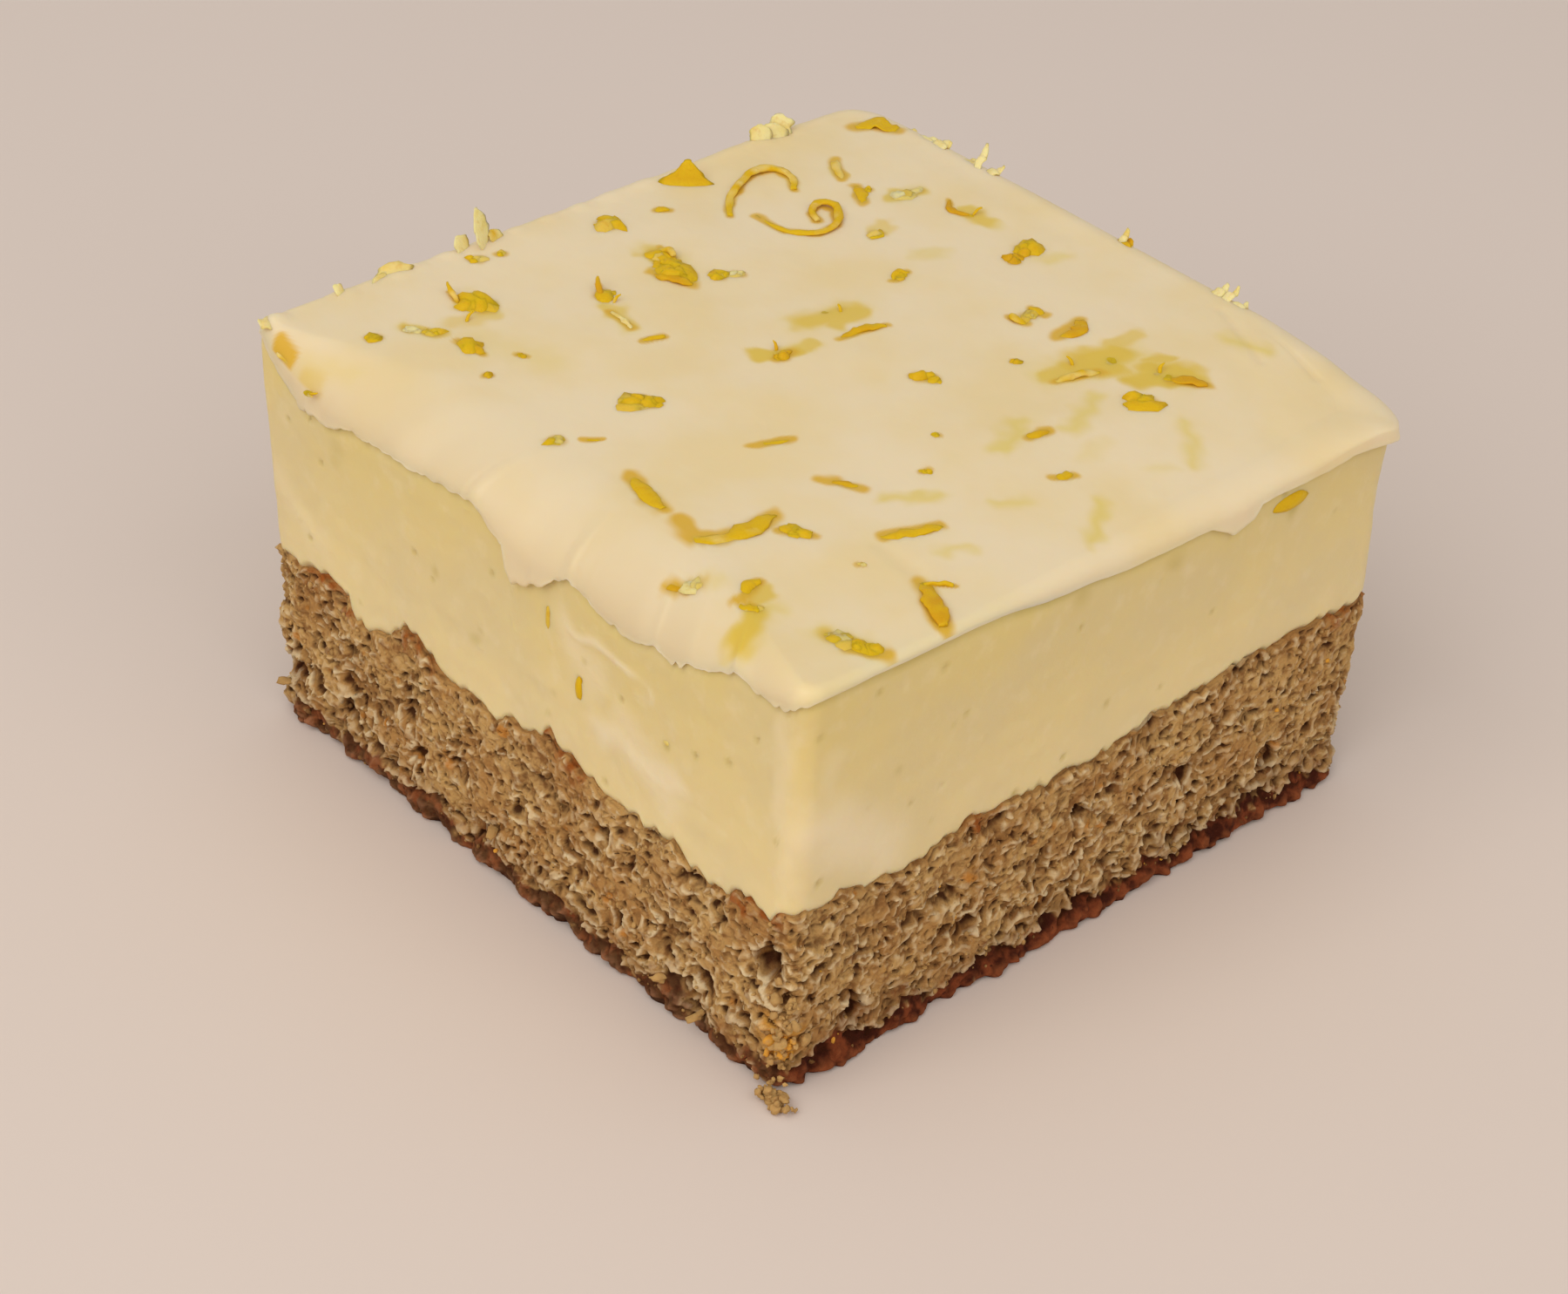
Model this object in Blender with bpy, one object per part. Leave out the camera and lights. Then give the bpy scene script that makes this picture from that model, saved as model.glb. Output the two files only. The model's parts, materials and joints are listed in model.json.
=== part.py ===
"""A square serving of lemon carrot cheesecake, in three layers that meet face to face.

From the bottom up: a carrot sponge with a browned base, a set lemon cheesecake filling, and a thin
cream topping that is strewn with lemon zest and drags down over one cut face in a ragged hem.

The frame has +Z up. Its origin is under the middle of the cake, on the surface that it stands on.
-X is the ragged cut face, -Y the clean cut face, and +X the side that set against the tin.
Sizes here are in millimetres, and new_object turns them to metres.
"""

import math

import bpy
import numpy as np

MM = 0.001

# Outside of the cake: low x, high x, low y and high y, at its foot and at its top edge
FOOT = (-33.6, 32.9, -32.7, 31.4)
HEAD = (-33.7, 34.3, -33.3, 33.6)
CORNER_RADIUS = 1.6
SMALLEST_RADIUS = 0.4

# Levels where the layers meet in the middle, and the clearance that is left between them
SPONGE_LEVEL = 15.4
FILLING_LEVEL = 34.4
TOP_LEVEL = 37.0
CLEARANCE = 0.3
# The joints between the layers are uneven only this near the faces of the cake
EDGE_BAND = 5.0

# The top falls towards the tin side, and slumps where it rounds over into that face
TOP_FALL = 0.9
TIN_SLUMP = 1.1
TIN_SLUMP_REACH = 11.0
TOP_WAVE = 0.22
HALF_SIDE = 33.0

# How round the top edge is where it meets the cut faces, and where it meets the tin side
CUT_EDGE_ROUND = 1.3
TIN_EDGE_ROUND = 3.0
# How far the cream stands out from the filling below it
CREAM_PROUD = 0.45

# Depth of the cream's hem below the top, at places along a face
HEM_ON_CUT_FACE = (  # y along -X
    (-33.0, 1.7), (-30.5, 2.5), (-26.2, 1.9), (-21.6, 3.9), (-18.7, 5.2), (-15.0, 4.9),
    (-10.2, 4.8), (-7.0, 3.9), (-3.4, 6.0), (-0.3, 7.4), (0.6, 5.6), (3.0, 3.7), (9.6, 3.1),
    (21.0, 3.9), (23.5, 5.0), (27.6, 5.1), (31.1, 2.9), (33.4, 1.7),
)
HEM_ON_CLEAN_FACE = (  # x along -Y
    (-33.0, 1.7), (-29.0, 1.3), (-19.5, 1.4), (-6.4, 2.0), (6.4, 2.4), (13.7, 3.0), (16.6, 2.1),
    (27.5, 2.2), (34.0, 2.6),
)
HEM_ON_TIN_FACE = ((-33.0, 2.6), (-24.0, 3.6), (0.0, 4.2), (20.0, 3.7), (33.4, 2.4))  # y along +X
HEM_ON_BACK_FACE = (  # x along +Y
    (-33.0, 1.7), (-22.0, 3.4), (-12.0, 2.4), (1.0, 3.8), (9.0, 2.6), (22.0, 3.3), (34.0, 2.4),
)

# Toasted blisters of the sponge's skin that stand up into the filling: x, y, height and radius
SPONGE_TILT = 0.9
BLISTERS = (
    (-33.6, 31.0, 0.9, 2.5), (-33.6, 23.6, 1.4, 3.0), (-33.6, 12.3, 2.9, 2.3),
    (-33.6, -7.2, 2.6, 2.9), (-33.6, -18.0, 0.9, 3.0), (-13.0, -32.7, 1.5, 3.2),
    (12.0, -32.7, 0.9, 4.5), (32.9, -20.0, 1.6, 3.0), (32.9, 6.0, 2.2, 3.4),
    (32.9, 24.0, 1.0, 3.0), (18.0, 31.4, 2.0, 3.0), (-4.0, 31.4, 1.2, 4.0), (-22.0, 31.4, 2.3, 2.6),
)
BLISTER_WAVE = 0.45

# The browned base stands out as a ledge below the crumb, most on the clean cut face
LEDGE_HEIGHT = 2.2
LEDGE_ON_CUT_FACE = 0.4
LEDGE_ON_CLEAN_FACE = 1.0
FOOT_ROUND = 0.7

# Open crumb: the size of its pores and of its lumps, and how deep they are
PORE_CELL = 4.6
PORE_REACH = 0.46
PORE_DEPTH = 1.5
LUMP_SIZE = 3.4
LUMP_DEPTH = 0.45
# A chunk of crumb has broken away low on the corner between the two cut faces
BREAK_AT = (-33.9, -32.9, 7.0)
BREAK_RADIUS = 3.6
BREAK_DEPTH = 2.0
# Gentle unevenness of the knife's track down the filling
KNIFE_WAVE = 0.22
KNIFE_WAVE_SIZE = 11.0

# Points along each side and round each corner of a ring, the same in all of the layers
SIDE_POINTS = 29
CORNER_POINTS = 4

# Long shreds of zest, as x, y, heading, length, width, turn and lift of the far end, in mm and degrees
SHREDS = (
    (-25.9, -10.4, -100, 9.2, 1.5, 120, 0.5), (-24.8, -3.2, -96, 4.8, 1.4, 12, 0.3),
    (10.4, 24.4, 62, 14.0, 0.9, -185, 1.0), (13.2, 23.6, -95, 14.5, 0.9, 330, 1.4),
    (-15.6, -28.6, 160, 5.6, 1.2, 130, 0.8), (-14.1, -20.5, -25, 4.7, 0.9, 8, 0.2),
    (-13.8, -4.8, -21, 3.8, 0.9, 10, 0.1), (3.7, 3.4, -7, 4.5, 0.9, -14, 0.3),
    (-12.8, -12.2, -52, 2.9, 1.1, 0, 0.1), (19.2, -14.7, -48, 6.0, 2.4, 20, 0.8),
    (14.4, -10.4, -18, 6.6, 2.6, -24, 0.5), (0.8, 23.6, -101, 5.4, 2.4, -18, 0.7),
    (-9.9, 13.1, -35, 2.6, 0.8, 0, 0.2), (-28.0, -26.6, -57, 4.8, 1.9, 20, 0.3),
    (25.3, 19.8, -16, 3.5, 1.4, 24, 0.3), (-31.2, -17.8, -40, 3.2, 1.6, 30, 0.4),
    (24.8, 5.4, -8, 3.2, 1.5, 40, 0.6), (-30.0, -24.4, 38, 5.4, 2.0, -12, 0.3),
)
# Shreds that stand up along the rim of the top: x, y, heading, length, width, turn and lift
RIM_SHREDS = (
    (-12.6, 31.2, 100, 1.8, 1.4, 20, 3.6), (9.8, 30.8, 60, 1.8, 2.0, 30, 2.4),
    (23.0, 31.0, 110, 1.8, 1.4, 25, 1.8), (30.2, 29.6, 20, 2.6, 1.6, -30, 1.0),
    (30.8, 15.8, 10, 1.8, 1.0, 15, 1.8), (31.0, 1.2, -20, 1.8, 1.6, 20, 1.8),
    (-26.0, 31.0, 85, 1.6, 1.4, -20, 1.2), (-31.6, 30.4, 150, 1.6, 1.4, 10, 0.8),
    (30.6, -12.0, 5, 1.6, 1.0, 0, 1.4),
)
SHRED_THICKNESS = 0.55
SHRED_SINK = 0.16
SHRED_STEPS = 6

# Small flecks of zest, strewn by a seeded rule and kept apart from each other and from the shreds
FLECK_COUNT = 34
FLECK_SEED = 7
FLECK_LENGTH = (1.2, 2.4)
FLECK_APART = 3.4
FLECK_TRIES = 4000
RIM_MARGIN = 4.0

# Colours, as linear red, green and blue, with a roughness
SPONGE_FINISH = ((0.36, 0.19, 0.075), 0.85)
FILLING_FINISH = ((0.68, 0.50, 0.22), 0.5)
CREAM_FINISH = ((0.78, 0.62, 0.38), 0.45)


def cell_value(cell, salt):
    """A fixed random number from 0 to 1 for each whole-number cell of space."""
    key = (cell * np.array([73856093, 19349663, 83492791])).sum(axis=-1) + salt * 1013904223
    for factor in (1274126177, 1103515245):
        key = ((key ^ (key >> 15)) & 0xFFFFFFFF) * factor & 0xFFFFFFFF
    return ((key >> 7) & 0xFFFFFF) / 0xFFFFFF


def noise(points, size, salt):
    """Smooth noise from -1 to 1 with features about `size` wide: cell corners' values, blended."""
    place = points / size
    base = np.floor(place).astype(np.int64)
    share = place - base
    share = share * share * (3 - 2 * share)
    total = np.zeros(len(points))
    for corner in np.ndindex(2, 2, 2):
        weight = np.where(np.array(corner, bool), share, 1 - share).prod(axis=-1)
        total += weight * cell_value(base + np.array(corner), salt)
    return 2 * total - 1


def pore_distance(points, size, salt):
    """Distance to the nearest pore's centre as a share of `size`, with one centre in each cell."""
    place = points / size
    base = np.floor(place).astype(np.int64)
    nearest = np.full(len(points), 9.0)
    for step in np.ndindex(3, 3, 3):
        cell = base + np.array(step) - 1
        centre = cell + np.stack([cell_value(cell, salt + axis) for axis in range(3)], axis=-1)
        nearest = np.minimum(nearest, np.linalg.norm(place - centre, axis=-1))
    return nearest


def smooth_step(share):
    """0 below 0, 1 above 1, and a smooth rise between."""
    share = np.clip(share, 0.0, 1.0)
    return share * share * (3 - 2 * share)


def rounded_rectangle(rect, radius):
    """Points round a rounded rectangle, anticlockwise from its -Y side, and the outward directions.

    Each side is evenly spaced points along its straight run, then the arc to the next side.
    """
    low_x, high_x, low_y, high_y = rect
    width, depth = high_x - low_x - 2 * radius, high_y - low_y - 2 * radius
    sides = (
        (0, width, (high_x - radius, low_y + radius)), (90, depth, (high_x - radius, high_y - radius)),
        (180, width, (low_x + radius, high_y - radius)), (270, depth, (low_x + radius, low_y + radius)),
    )
    behind = np.linspace(1.0, 0.0, SIDE_POINTS, endpoint=False)[:, None]
    swing = np.linspace(0.0, math.pi / 2, CORNER_POINTS, endpoint=False)[:, None]
    points, normals = [], []
    for angle, run, centre in sides:
        turn = math.radians(angle)
        ahead = np.array([math.cos(turn), math.sin(turn)])
        out = np.array([ahead[1], -ahead[0]])
        straight = np.repeat(out[None, :], SIDE_POINTS, axis=0)
        bend = np.cos(swing) * out + np.sin(swing) * ahead
        points += [centre + radius * straight - behind * run * ahead, centre + radius * bend]
        normals += [straight, bend]
    return np.concatenate(points), np.concatenate(normals)


def sides_at(height):
    """The cake's outside at a height, between its foot and its top edge."""
    share = min(max(height / TOP_LEVEL, 0.0), 1.0)
    return np.array(FOOT) + (np.array(HEAD) - np.array(FOOT)) * share


def face_ring(height, inset):
    """The cake's outline at a height, moved inwards by `inset`, and the outward directions."""
    low_x, high_x, low_y, high_y = sides_at(height)
    rect = (low_x + inset, high_x - inset, low_y + inset, high_y - inset)
    return rounded_rectangle(rect, max(CORNER_RADIUS - inset, SMALLEST_RADIUS))


def sponge_top(flat):
    """Height of the sponge's skin at the cake's faces: a tilt, gentle waves and toasted blisters."""
    x, y = flat[:, 0], flat[:, 1]
    height = SPONGE_LEVEL + SPONGE_TILT * x / HALF_SIDE
    height += BLISTER_WAVE * noise(np.column_stack([flat, np.zeros(len(flat))]), 6.5, 3)
    for centre_x, centre_y, rise, radius in BLISTERS:
        away = np.hypot(x - centre_x, y - centre_y) / radius
        height += rise * np.exp(-away ** 2)
    return height


def top_surface(flat):
    """Height of the cream's top: a fall to the tin side, a slump at that edge, and gentle waves."""
    x = flat[:, 0]
    height = TOP_LEVEL - TOP_FALL * x / HALF_SIDE
    slump = np.clip((x - HALF_SIDE + TIN_SLUMP_REACH) / TIN_SLUMP_REACH, 0.0, None)
    waves = noise(np.column_stack([flat, np.zeros(len(flat))]), 13.0, 11)
    return height - TIN_SLUMP * slump ** 2 + TOP_WAVE * waves


def hem_depth(flat, normals):
    """How far below the top the cream's hem hangs, at points of the outline."""
    depths = (
        (normals[:, 0] < 0, HEM_ON_CUT_FACE, 1), (normals[:, 0] > 0, HEM_ON_TIN_FACE, 1),
        (normals[:, 1] < 0, HEM_ON_CLEAN_FACE, 0), (normals[:, 1] > 0, HEM_ON_BACK_FACE, 0),
    )
    total = np.zeros(len(flat))
    for facing, knots, axis in depths:
        places, values = zip(*knots)
        share = normals[:, 1 - axis] ** 2
        total += np.where(facing, share * np.interp(flat[:, axis], places, values), 0.0)
    return total


def edge_round(normals):
    """Radius of the top edge: that of the tin side where the outline faces +X."""
    tin = np.clip(normals[:, 0], 0.0, 1.0) ** 2
    return CUT_EDGE_ROUND + (TIN_EDGE_ROUND - CUT_EDGE_ROUND) * tin


def crumb_relief(points):
    """How far the cut crumb stands in: rounded pores of many sizes between lumps."""
    stretched = points * np.array([1.0, 1.0, 1.35])
    pores = np.clip(1 - pore_distance(stretched, PORE_CELL, 21) / PORE_REACH, 0.0, 1.0)
    lumps = noise(points, LUMP_SIZE, 31)
    away = np.linalg.norm(points - np.array(BREAK_AT), axis=1) / BREAK_RADIUS
    broken = BREAK_DEPTH * np.exp(-away ** 2)
    return PORE_DEPTH * smooth_step(pores) + LUMP_DEPTH * lumps + broken


def base_ledge(height, normals):
    """How far the browned base stands out below the crumb."""
    clean = np.clip(-normals[:, 1], 0.0, 1.0) ** 2
    reach = LEDGE_ON_CUT_FACE + (LEDGE_ON_CLEAN_FACE - LEDGE_ON_CUT_FACE) * clean
    return reach * (1 - smooth_step((height - LEDGE_HEIGHT * 0.5) / LEDGE_HEIGHT))


def ring_of(flat, heights):
    """A closed ring of points from their places in plan and their heights."""
    return np.column_stack([flat, np.broadcast_to(heights, len(flat))])


def cap_rings(level, edge_heights, height_here):
    """Rings of a joint between two layers, from the face inwards to its level middle."""
    rings = []
    for inset in (EDGE_BAND * 0.2, EDGE_BAND * 0.5, EDGE_BAND):
        flat, _ = face_ring(height_here, inset)
        share = smooth_step(inset / EDGE_BAND)
        rings.append(ring_of(flat, edge_heights + (level - edge_heights) * share))
    return rings


def sponge_rings():
    """Rings of the sponge, from its flat base up the open crumb and over its blistered skin."""
    flat, normals = face_ring(SPONGE_LEVEL, 0.0)
    skin = sponge_top(flat) - CLEARANCE / 2
    rings = []
    for height, inset in ((0.0, FOOT_ROUND), (FOOT_ROUND * 0.6, 0.1)):
        flat, normals = face_ring(height, inset)
        flat = flat + normals * base_ledge(height, normals)[:, None]
        rings.append(ring_of(flat, height))
    for share in (0.09, 0.17, 0.27, 0.39, 0.51, 0.63, 0.75, 0.87, 1.0):
        heights = skin * share
        flat, normals = face_ring(SPONGE_LEVEL * share, 0.0)
        # The relief fades in above the base, and out again at the skin
        strength = min(share * 6, 1.0, (1.0 - share) * 8)
        out = base_ledge(heights, normals) - crumb_relief(ring_of(flat, heights)) * strength
        rings.append(ring_of(flat + normals * out[:, None], heights))
    rings += cap_rings(SPONGE_LEVEL - CLEARANCE / 2, skin, SPONGE_LEVEL)
    return rings


def filling_rings():
    """Rings of the filling, from its joint with the sponge up the cut face to its joint with the cream."""
    flat, normals = face_ring(SPONGE_LEVEL, 0.0)
    foot = sponge_top(flat) + CLEARANCE / 2
    flat, normals = face_ring(FILLING_LEVEL, 0.0)
    brow = top_surface(flat) - hem_depth(flat, normals) - CLEARANCE / 2
    rings = cap_rings(SPONGE_LEVEL + CLEARANCE / 2, foot, SPONGE_LEVEL)[::-1]
    for share in (0.0, 0.12, 0.4, 0.7, 0.93, 1.0):
        heights = foot + (brow - foot) * share
        flat, normals = face_ring(SPONGE_LEVEL + (FILLING_LEVEL - SPONGE_LEVEL) * share, 0.0)
        out = min(share * 8, 1.0) * KNIFE_WAVE * noise(ring_of(flat, heights), KNIFE_WAVE_SIZE, 41)
        rings.append(ring_of(flat + normals * out[:, None], heights))
    rings += cap_rings(FILLING_LEVEL - CLEARANCE / 2, brow, FILLING_LEVEL)
    return rings


def cream_rings():
    """Rings of the cream, from its underside down to the hem, up over the rounded edge and the top."""
    flat, normals = face_ring(FILLING_LEVEL, 0.0)
    depth = hem_depth(flat, normals)
    hem = top_surface(flat) - depth + CLEARANCE / 2
    rings = cap_rings(FILLING_LEVEL + CLEARANCE / 2, hem, FILLING_LEVEL)[::-1]
    radius = np.minimum(edge_round(normals), depth - 0.7)
    flat, normals = face_ring(TOP_LEVEL, 0.0)
    shoulder = top_surface(flat - normals * radius[:, None])
    rings.append(ring_of(flat + normals * 0.1, hem))
    rings.append(ring_of(flat + normals * CREAM_PROUD, hem + 0.35))
    for angle in (0, 40, 68):
        turn = math.radians(angle)
        out = CREAM_PROUD - radius * (1 - math.cos(turn))
        heights = shoulder - radius * (1 - math.sin(turn))
        rings.append(ring_of(flat + normals * out[:, None], heights))
    for inset in (3.6, 8.0, 14.0, 21.0, 28.0):
        inner, _ = face_ring(TOP_LEVEL, inset)
        rings.append(ring_of(inner, top_surface(inner)))
    return rings


def new_object(name, rings, collection):
    """An object whose skin runs from ring to ring, with a flat face across the first and the last.

    Each four-sided patch is split along its shorter diagonal, so that the two sides of a joint
    between layers have the same facets and keep their clearance.
    """
    count = len(rings[0])
    first = np.arange(count)
    following = (first + 1) % count
    points = np.concatenate(rings)
    faces = [tuple(range(count - 1, -1, -1))]
    for row in range(len(rings) - 1):
        a, b = row * count + first, row * count + following
        c, d = b + count, a + count
        rising = np.linalg.norm(points[a] - points[c], axis=1)
        falling = np.linalg.norm(points[b] - points[d], axis=1)
        short = (rising < falling)[:, None]
        faces += np.where(short, np.column_stack([a, b, c]), np.column_stack([a, b, d])).tolist()
        faces += np.where(short, np.column_stack([a, c, d]), np.column_stack([b, c, d])).tolist()
    faces.append(tuple(range((len(rings) - 1) * count, len(rings) * count)))
    mesh = bpy.data.meshes.new(name)
    mesh.from_pydata((points * MM).tolist(), [], faces)
    mesh.validate()
    made = bpy.data.objects.new(name, mesh)
    collection.objects.link(made)
    return made


def give_finish(target, finish):
    """One plain material of this colour and roughness on the object."""
    colour, roughness = finish
    material = bpy.data.materials.new(target.name)
    material.use_nodes = True
    shader = material.node_tree.nodes["Principled BSDF"]
    shader.inputs["Base Color"].default_value = (*colour, 1.0)
    shader.inputs["Roughness"].default_value = roughness
    shader.inputs["Metallic"].default_value = 0.0
    target.data.materials.clear()
    target.data.materials.append(material)


def shred_rings(x, y, heading, length, width, turn, lift):
    """Rings of one shred: a flat strip that bends along an even arc, narrows at both ends and lifts."""
    shares = (np.arange(SHRED_STEPS) + 0.5) / SHRED_STEPS
    step = length / SHRED_STEPS
    angles = np.radians(heading + turn * shares)
    ahead = np.column_stack([np.cos(angles), np.sin(angles)])
    path = np.vstack([[x, y], np.array([x, y]) + np.cumsum(ahead * step, axis=0)])
    along = np.arange(SHRED_STEPS + 1) / SHRED_STEPS
    turned = np.radians(heading + turn * along)
    side = np.column_stack([-np.sin(turned), np.cos(turned)])
    half = width / 2 * (0.35 + 0.65 * np.sqrt(np.sin(math.pi * np.clip(along, 0.04, 0.96))))
    middle = top_surface(path) - SHRED_SINK + lift * along ** 2
    rings = []
    for point, across, reach, height in zip(path, side, half, middle):
        left, right = point + across * reach, point - across * reach
        low, high = height - SHRED_THICKNESS * 0.4, height + SHRED_THICKNESS * 0.6
        rings.append(np.array([[*left, low], [*left, high], [*right, high], [*right, low]]))
    return rings


def scattered_places():
    """Places for the flecks: seeded random points that keep clear of each other and of the shreds."""
    draw = np.random.RandomState(FLECK_SEED)
    taken = [np.array(shred[:2]) + 0.5 * shred[3] * np.array(
        [math.cos(math.radians(shred[2])), math.sin(math.radians(shred[2]))]) for shred in SHREDS]
    shreds = len(taken)
    for _ in range(FLECK_TRIES):
        place = draw.uniform(-HALF_SIDE + RIM_MARGIN, HALF_SIDE - RIM_MARGIN, 2)
        if min(np.linalg.norm(np.array(taken) - place, axis=1)) > FLECK_APART:
            taken.append(place)
        if len(taken) == shreds + FLECK_COUNT:
            break
    return taken[shreds:]


def add_zest(collection):
    """The shreds and flecks of zest as closed pieces, each sunk a little into the cream."""
    for number, shred in enumerate(SHREDS + RIM_SHREDS):
        new_object(f"shred_{number}", shred_rings(*shred), collection)
    draw = np.random.RandomState(FLECK_SEED + 1)
    for number, (x, y) in enumerate(scattered_places()):
        length = draw.uniform(*FLECK_LENGTH)
        bpy.ops.mesh.primitive_ico_sphere_add(subdivisions=1, radius=MM)
        fleck = bpy.context.object
        fleck.name = f"fleck_{number}"
        fleck.scale = (length / 2, length * draw.uniform(0.25, 0.4), 0.45)
        fleck.rotation_euler = (0.0, 0.0, draw.uniform(0, math.pi))
        height = top_surface(np.array([[x, y]]))[0]
        fleck.location = (x * MM, y * MM, height * MM)
        for owner in fleck.users_collection:
            owner.objects.unlink(fleck)
        collection.objects.link(fleck)


def join_zest(cream, collection):
    """One Boolean union of the zest with the cream, applied, after which the loose zest goes."""
    union = cream.modifiers.new("zest", "BOOLEAN")
    union.operation = "UNION"
    union.operand_type = "COLLECTION"
    union.collection = collection
    union.solver = "MANIFOLD"
    bpy.context.view_layer.update()
    graph = bpy.context.evaluated_depsgraph_get()
    joined = bpy.data.meshes.new_from_object(cream.evaluated_get(graph))
    cream.modifiers.clear()
    cream.data = joined
    cream.name = joined.name = "cream_topping"
    for loose in list(collection.objects):
        bpy.data.objects.remove(loose)
    bpy.data.collections.remove(collection)


def build():
    """Clears the scene and makes the three layers in one collection."""
    for old in list(bpy.data.objects):
        bpy.data.objects.remove(old)
    cake = bpy.data.collections.new("lemon_carrot_cheesecake")
    bpy.context.scene.collection.children.link(cake)
    zest = bpy.data.collections.new("zest")
    bpy.context.scene.collection.children.link(zest)

    sponge = new_object("carrot_sponge", sponge_rings(), cake)
    filling = new_object("cheesecake_filling", filling_rings(), cake)
    cream = new_object("cream_topping", cream_rings(), cake)
    add_zest(zest)
    join_zest(cream, zest)

    give_finish(sponge, SPONGE_FINISH)
    give_finish(filling, FILLING_FINISH)
    give_finish(cream, CREAM_FINISH)


build()
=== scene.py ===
"""The looks of a square serving of lemon carrot cheesecake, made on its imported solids.

Every piece is a surface worked out with numpy in millimetres and stored in metres: the open crumb of
the sponge with its browned base, the cut face of the filling, the spread cream with its ragged hem,
and each kind of zest. All of them follow the same outline and the same joints between the layers.
"""

import json
import math

import bpy
import numpy as np
from mathutils import Matrix

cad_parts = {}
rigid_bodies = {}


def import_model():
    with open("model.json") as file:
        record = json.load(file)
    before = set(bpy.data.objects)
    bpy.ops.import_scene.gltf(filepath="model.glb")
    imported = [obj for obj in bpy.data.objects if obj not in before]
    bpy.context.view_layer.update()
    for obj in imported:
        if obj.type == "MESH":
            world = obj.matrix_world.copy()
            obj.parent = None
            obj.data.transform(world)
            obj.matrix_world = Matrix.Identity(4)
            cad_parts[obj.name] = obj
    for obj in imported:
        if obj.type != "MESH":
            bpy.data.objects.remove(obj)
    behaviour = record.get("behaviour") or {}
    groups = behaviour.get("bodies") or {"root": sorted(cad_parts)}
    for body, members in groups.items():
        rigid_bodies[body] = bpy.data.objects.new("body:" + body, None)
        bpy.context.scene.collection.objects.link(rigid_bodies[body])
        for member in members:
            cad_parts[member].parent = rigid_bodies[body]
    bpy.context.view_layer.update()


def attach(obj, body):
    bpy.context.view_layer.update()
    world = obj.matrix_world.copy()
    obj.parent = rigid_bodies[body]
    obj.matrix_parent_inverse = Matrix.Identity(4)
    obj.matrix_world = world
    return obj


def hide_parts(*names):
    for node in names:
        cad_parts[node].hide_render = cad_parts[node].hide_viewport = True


bl_info = {
    "name": "Lemon carrot cheesecake",
    "version": (1, 0, 0),
    "blender": (4, 5, 0),
    "location": "3D View > Sidebar > Cheesecake",
    "description": "Makes a serving of lemon carrot cheesecake with its crumb, filling, cream and zest",
    "category": "Add Mesh",
}

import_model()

MM = 0.001

# Outside of the cake in mm: low x, high x, low y and high y, at its foot and at its top edge
FOOT = np.array((-33.6, 32.9, -32.7, 31.4))
HEAD = np.array((-33.7, 34.3, -33.3, 33.6))
# Radius of the upright corners, from the front corner (-X, -Y) anticlockwise, and what the cream's top adds
CORNERS = np.array((1.8, 3.0, 1.5, 1.2))
CREAM_CORNERS = np.array((0.2, 2.8, 2.6, 0.6))
SMALLEST_RADIUS = 0.4
SPONGE_LEVEL = 15.4
FILLING_LEVEL = 34.4
TOP_LEVEL = 37.0
# How far one layer reaches into the next, so that no gap shows at a joint
OVERLAP = 0.25

# The top falls towards the clean face (-Y), more so to its right, and droops at the right corner
CREAM_LEVEL = 37.95
TOP_FALL, FALL_REACH = 0.9, 17.0
CORNER_DROOP, DROOP_REACH = 1.1, 11.0
TOP_WAVE = 0.16
# Where the photograph was taken from in mm, its turn, tilt and roll in degrees, and its lens in mm. The
# zest's places were read from it on a plane that falls to +X
VIEW_PLACE = (-174.21, -174.58, 181.88)
VIEW_ANGLES = (-44.29, 35.05, 3.56)
LENS, SENSOR = 80.0, 36.0
READ_LEVEL, READ_FALL = 37.0, 0.9
HALF_SIDE = 33.0

# Depth of the cream's hem below the top along each face, as places along the face and depths
HEM = {
    "-X": (
        (-33.0, 1.5), (-30.7, 2.5), (-28.4, 2.7), (-26.4, 1.9), (-21.8, 3.9), (-18.9, 5.3),
        (-17.9, 4.4), (-14.9, 5.2), (-11.9, 5.2), (-10.4, 4.9), (-7.3, 4.0), (-3.6, 6.1),
        (-0.5, 7.7), (0.3, 6.6), (0.6, 4.4), (2.8, 3.9), (4.4, 3.1), (9.4, 3.4), (16.2, 4.2),
        (20.8, 4.2), (22.6, 5.3), (27.4, 5.5), (30.9, 3.1), (32.0, 1.5), (33.4, 1.3),
    ),
    "-Y": (
        (-33.4, 1.0), (-27.0, 0.7), (-14.0, 0.9), (-9.3, 1.6), (-1.1, 1.9), (5.4, 2.0), (9.2, 1.9),
        (11.2, 2.9), (11.9, 3.5), (12.9, 3.2), (14.3, 2.8), (14.9, 1.6), (18.7, 1.6), (23.2, 1.6),
        (26.1, 1.0), (34.0, 0.9),
    ),
    "+X": ((-33.0, 2.3), (-24.0, 3.6), (-9.0, 3.1), (0.0, 4.2), (20.0, 3.7), (33.4, 2.4)),
    "+Y": ((-33.0, 1.3), (-22.0, 3.4), (-12.0, 2.4), (1.0, 3.8), (9.0, 2.6), (22.0, 3.3), (34.0, 2.4)),
}
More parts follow.
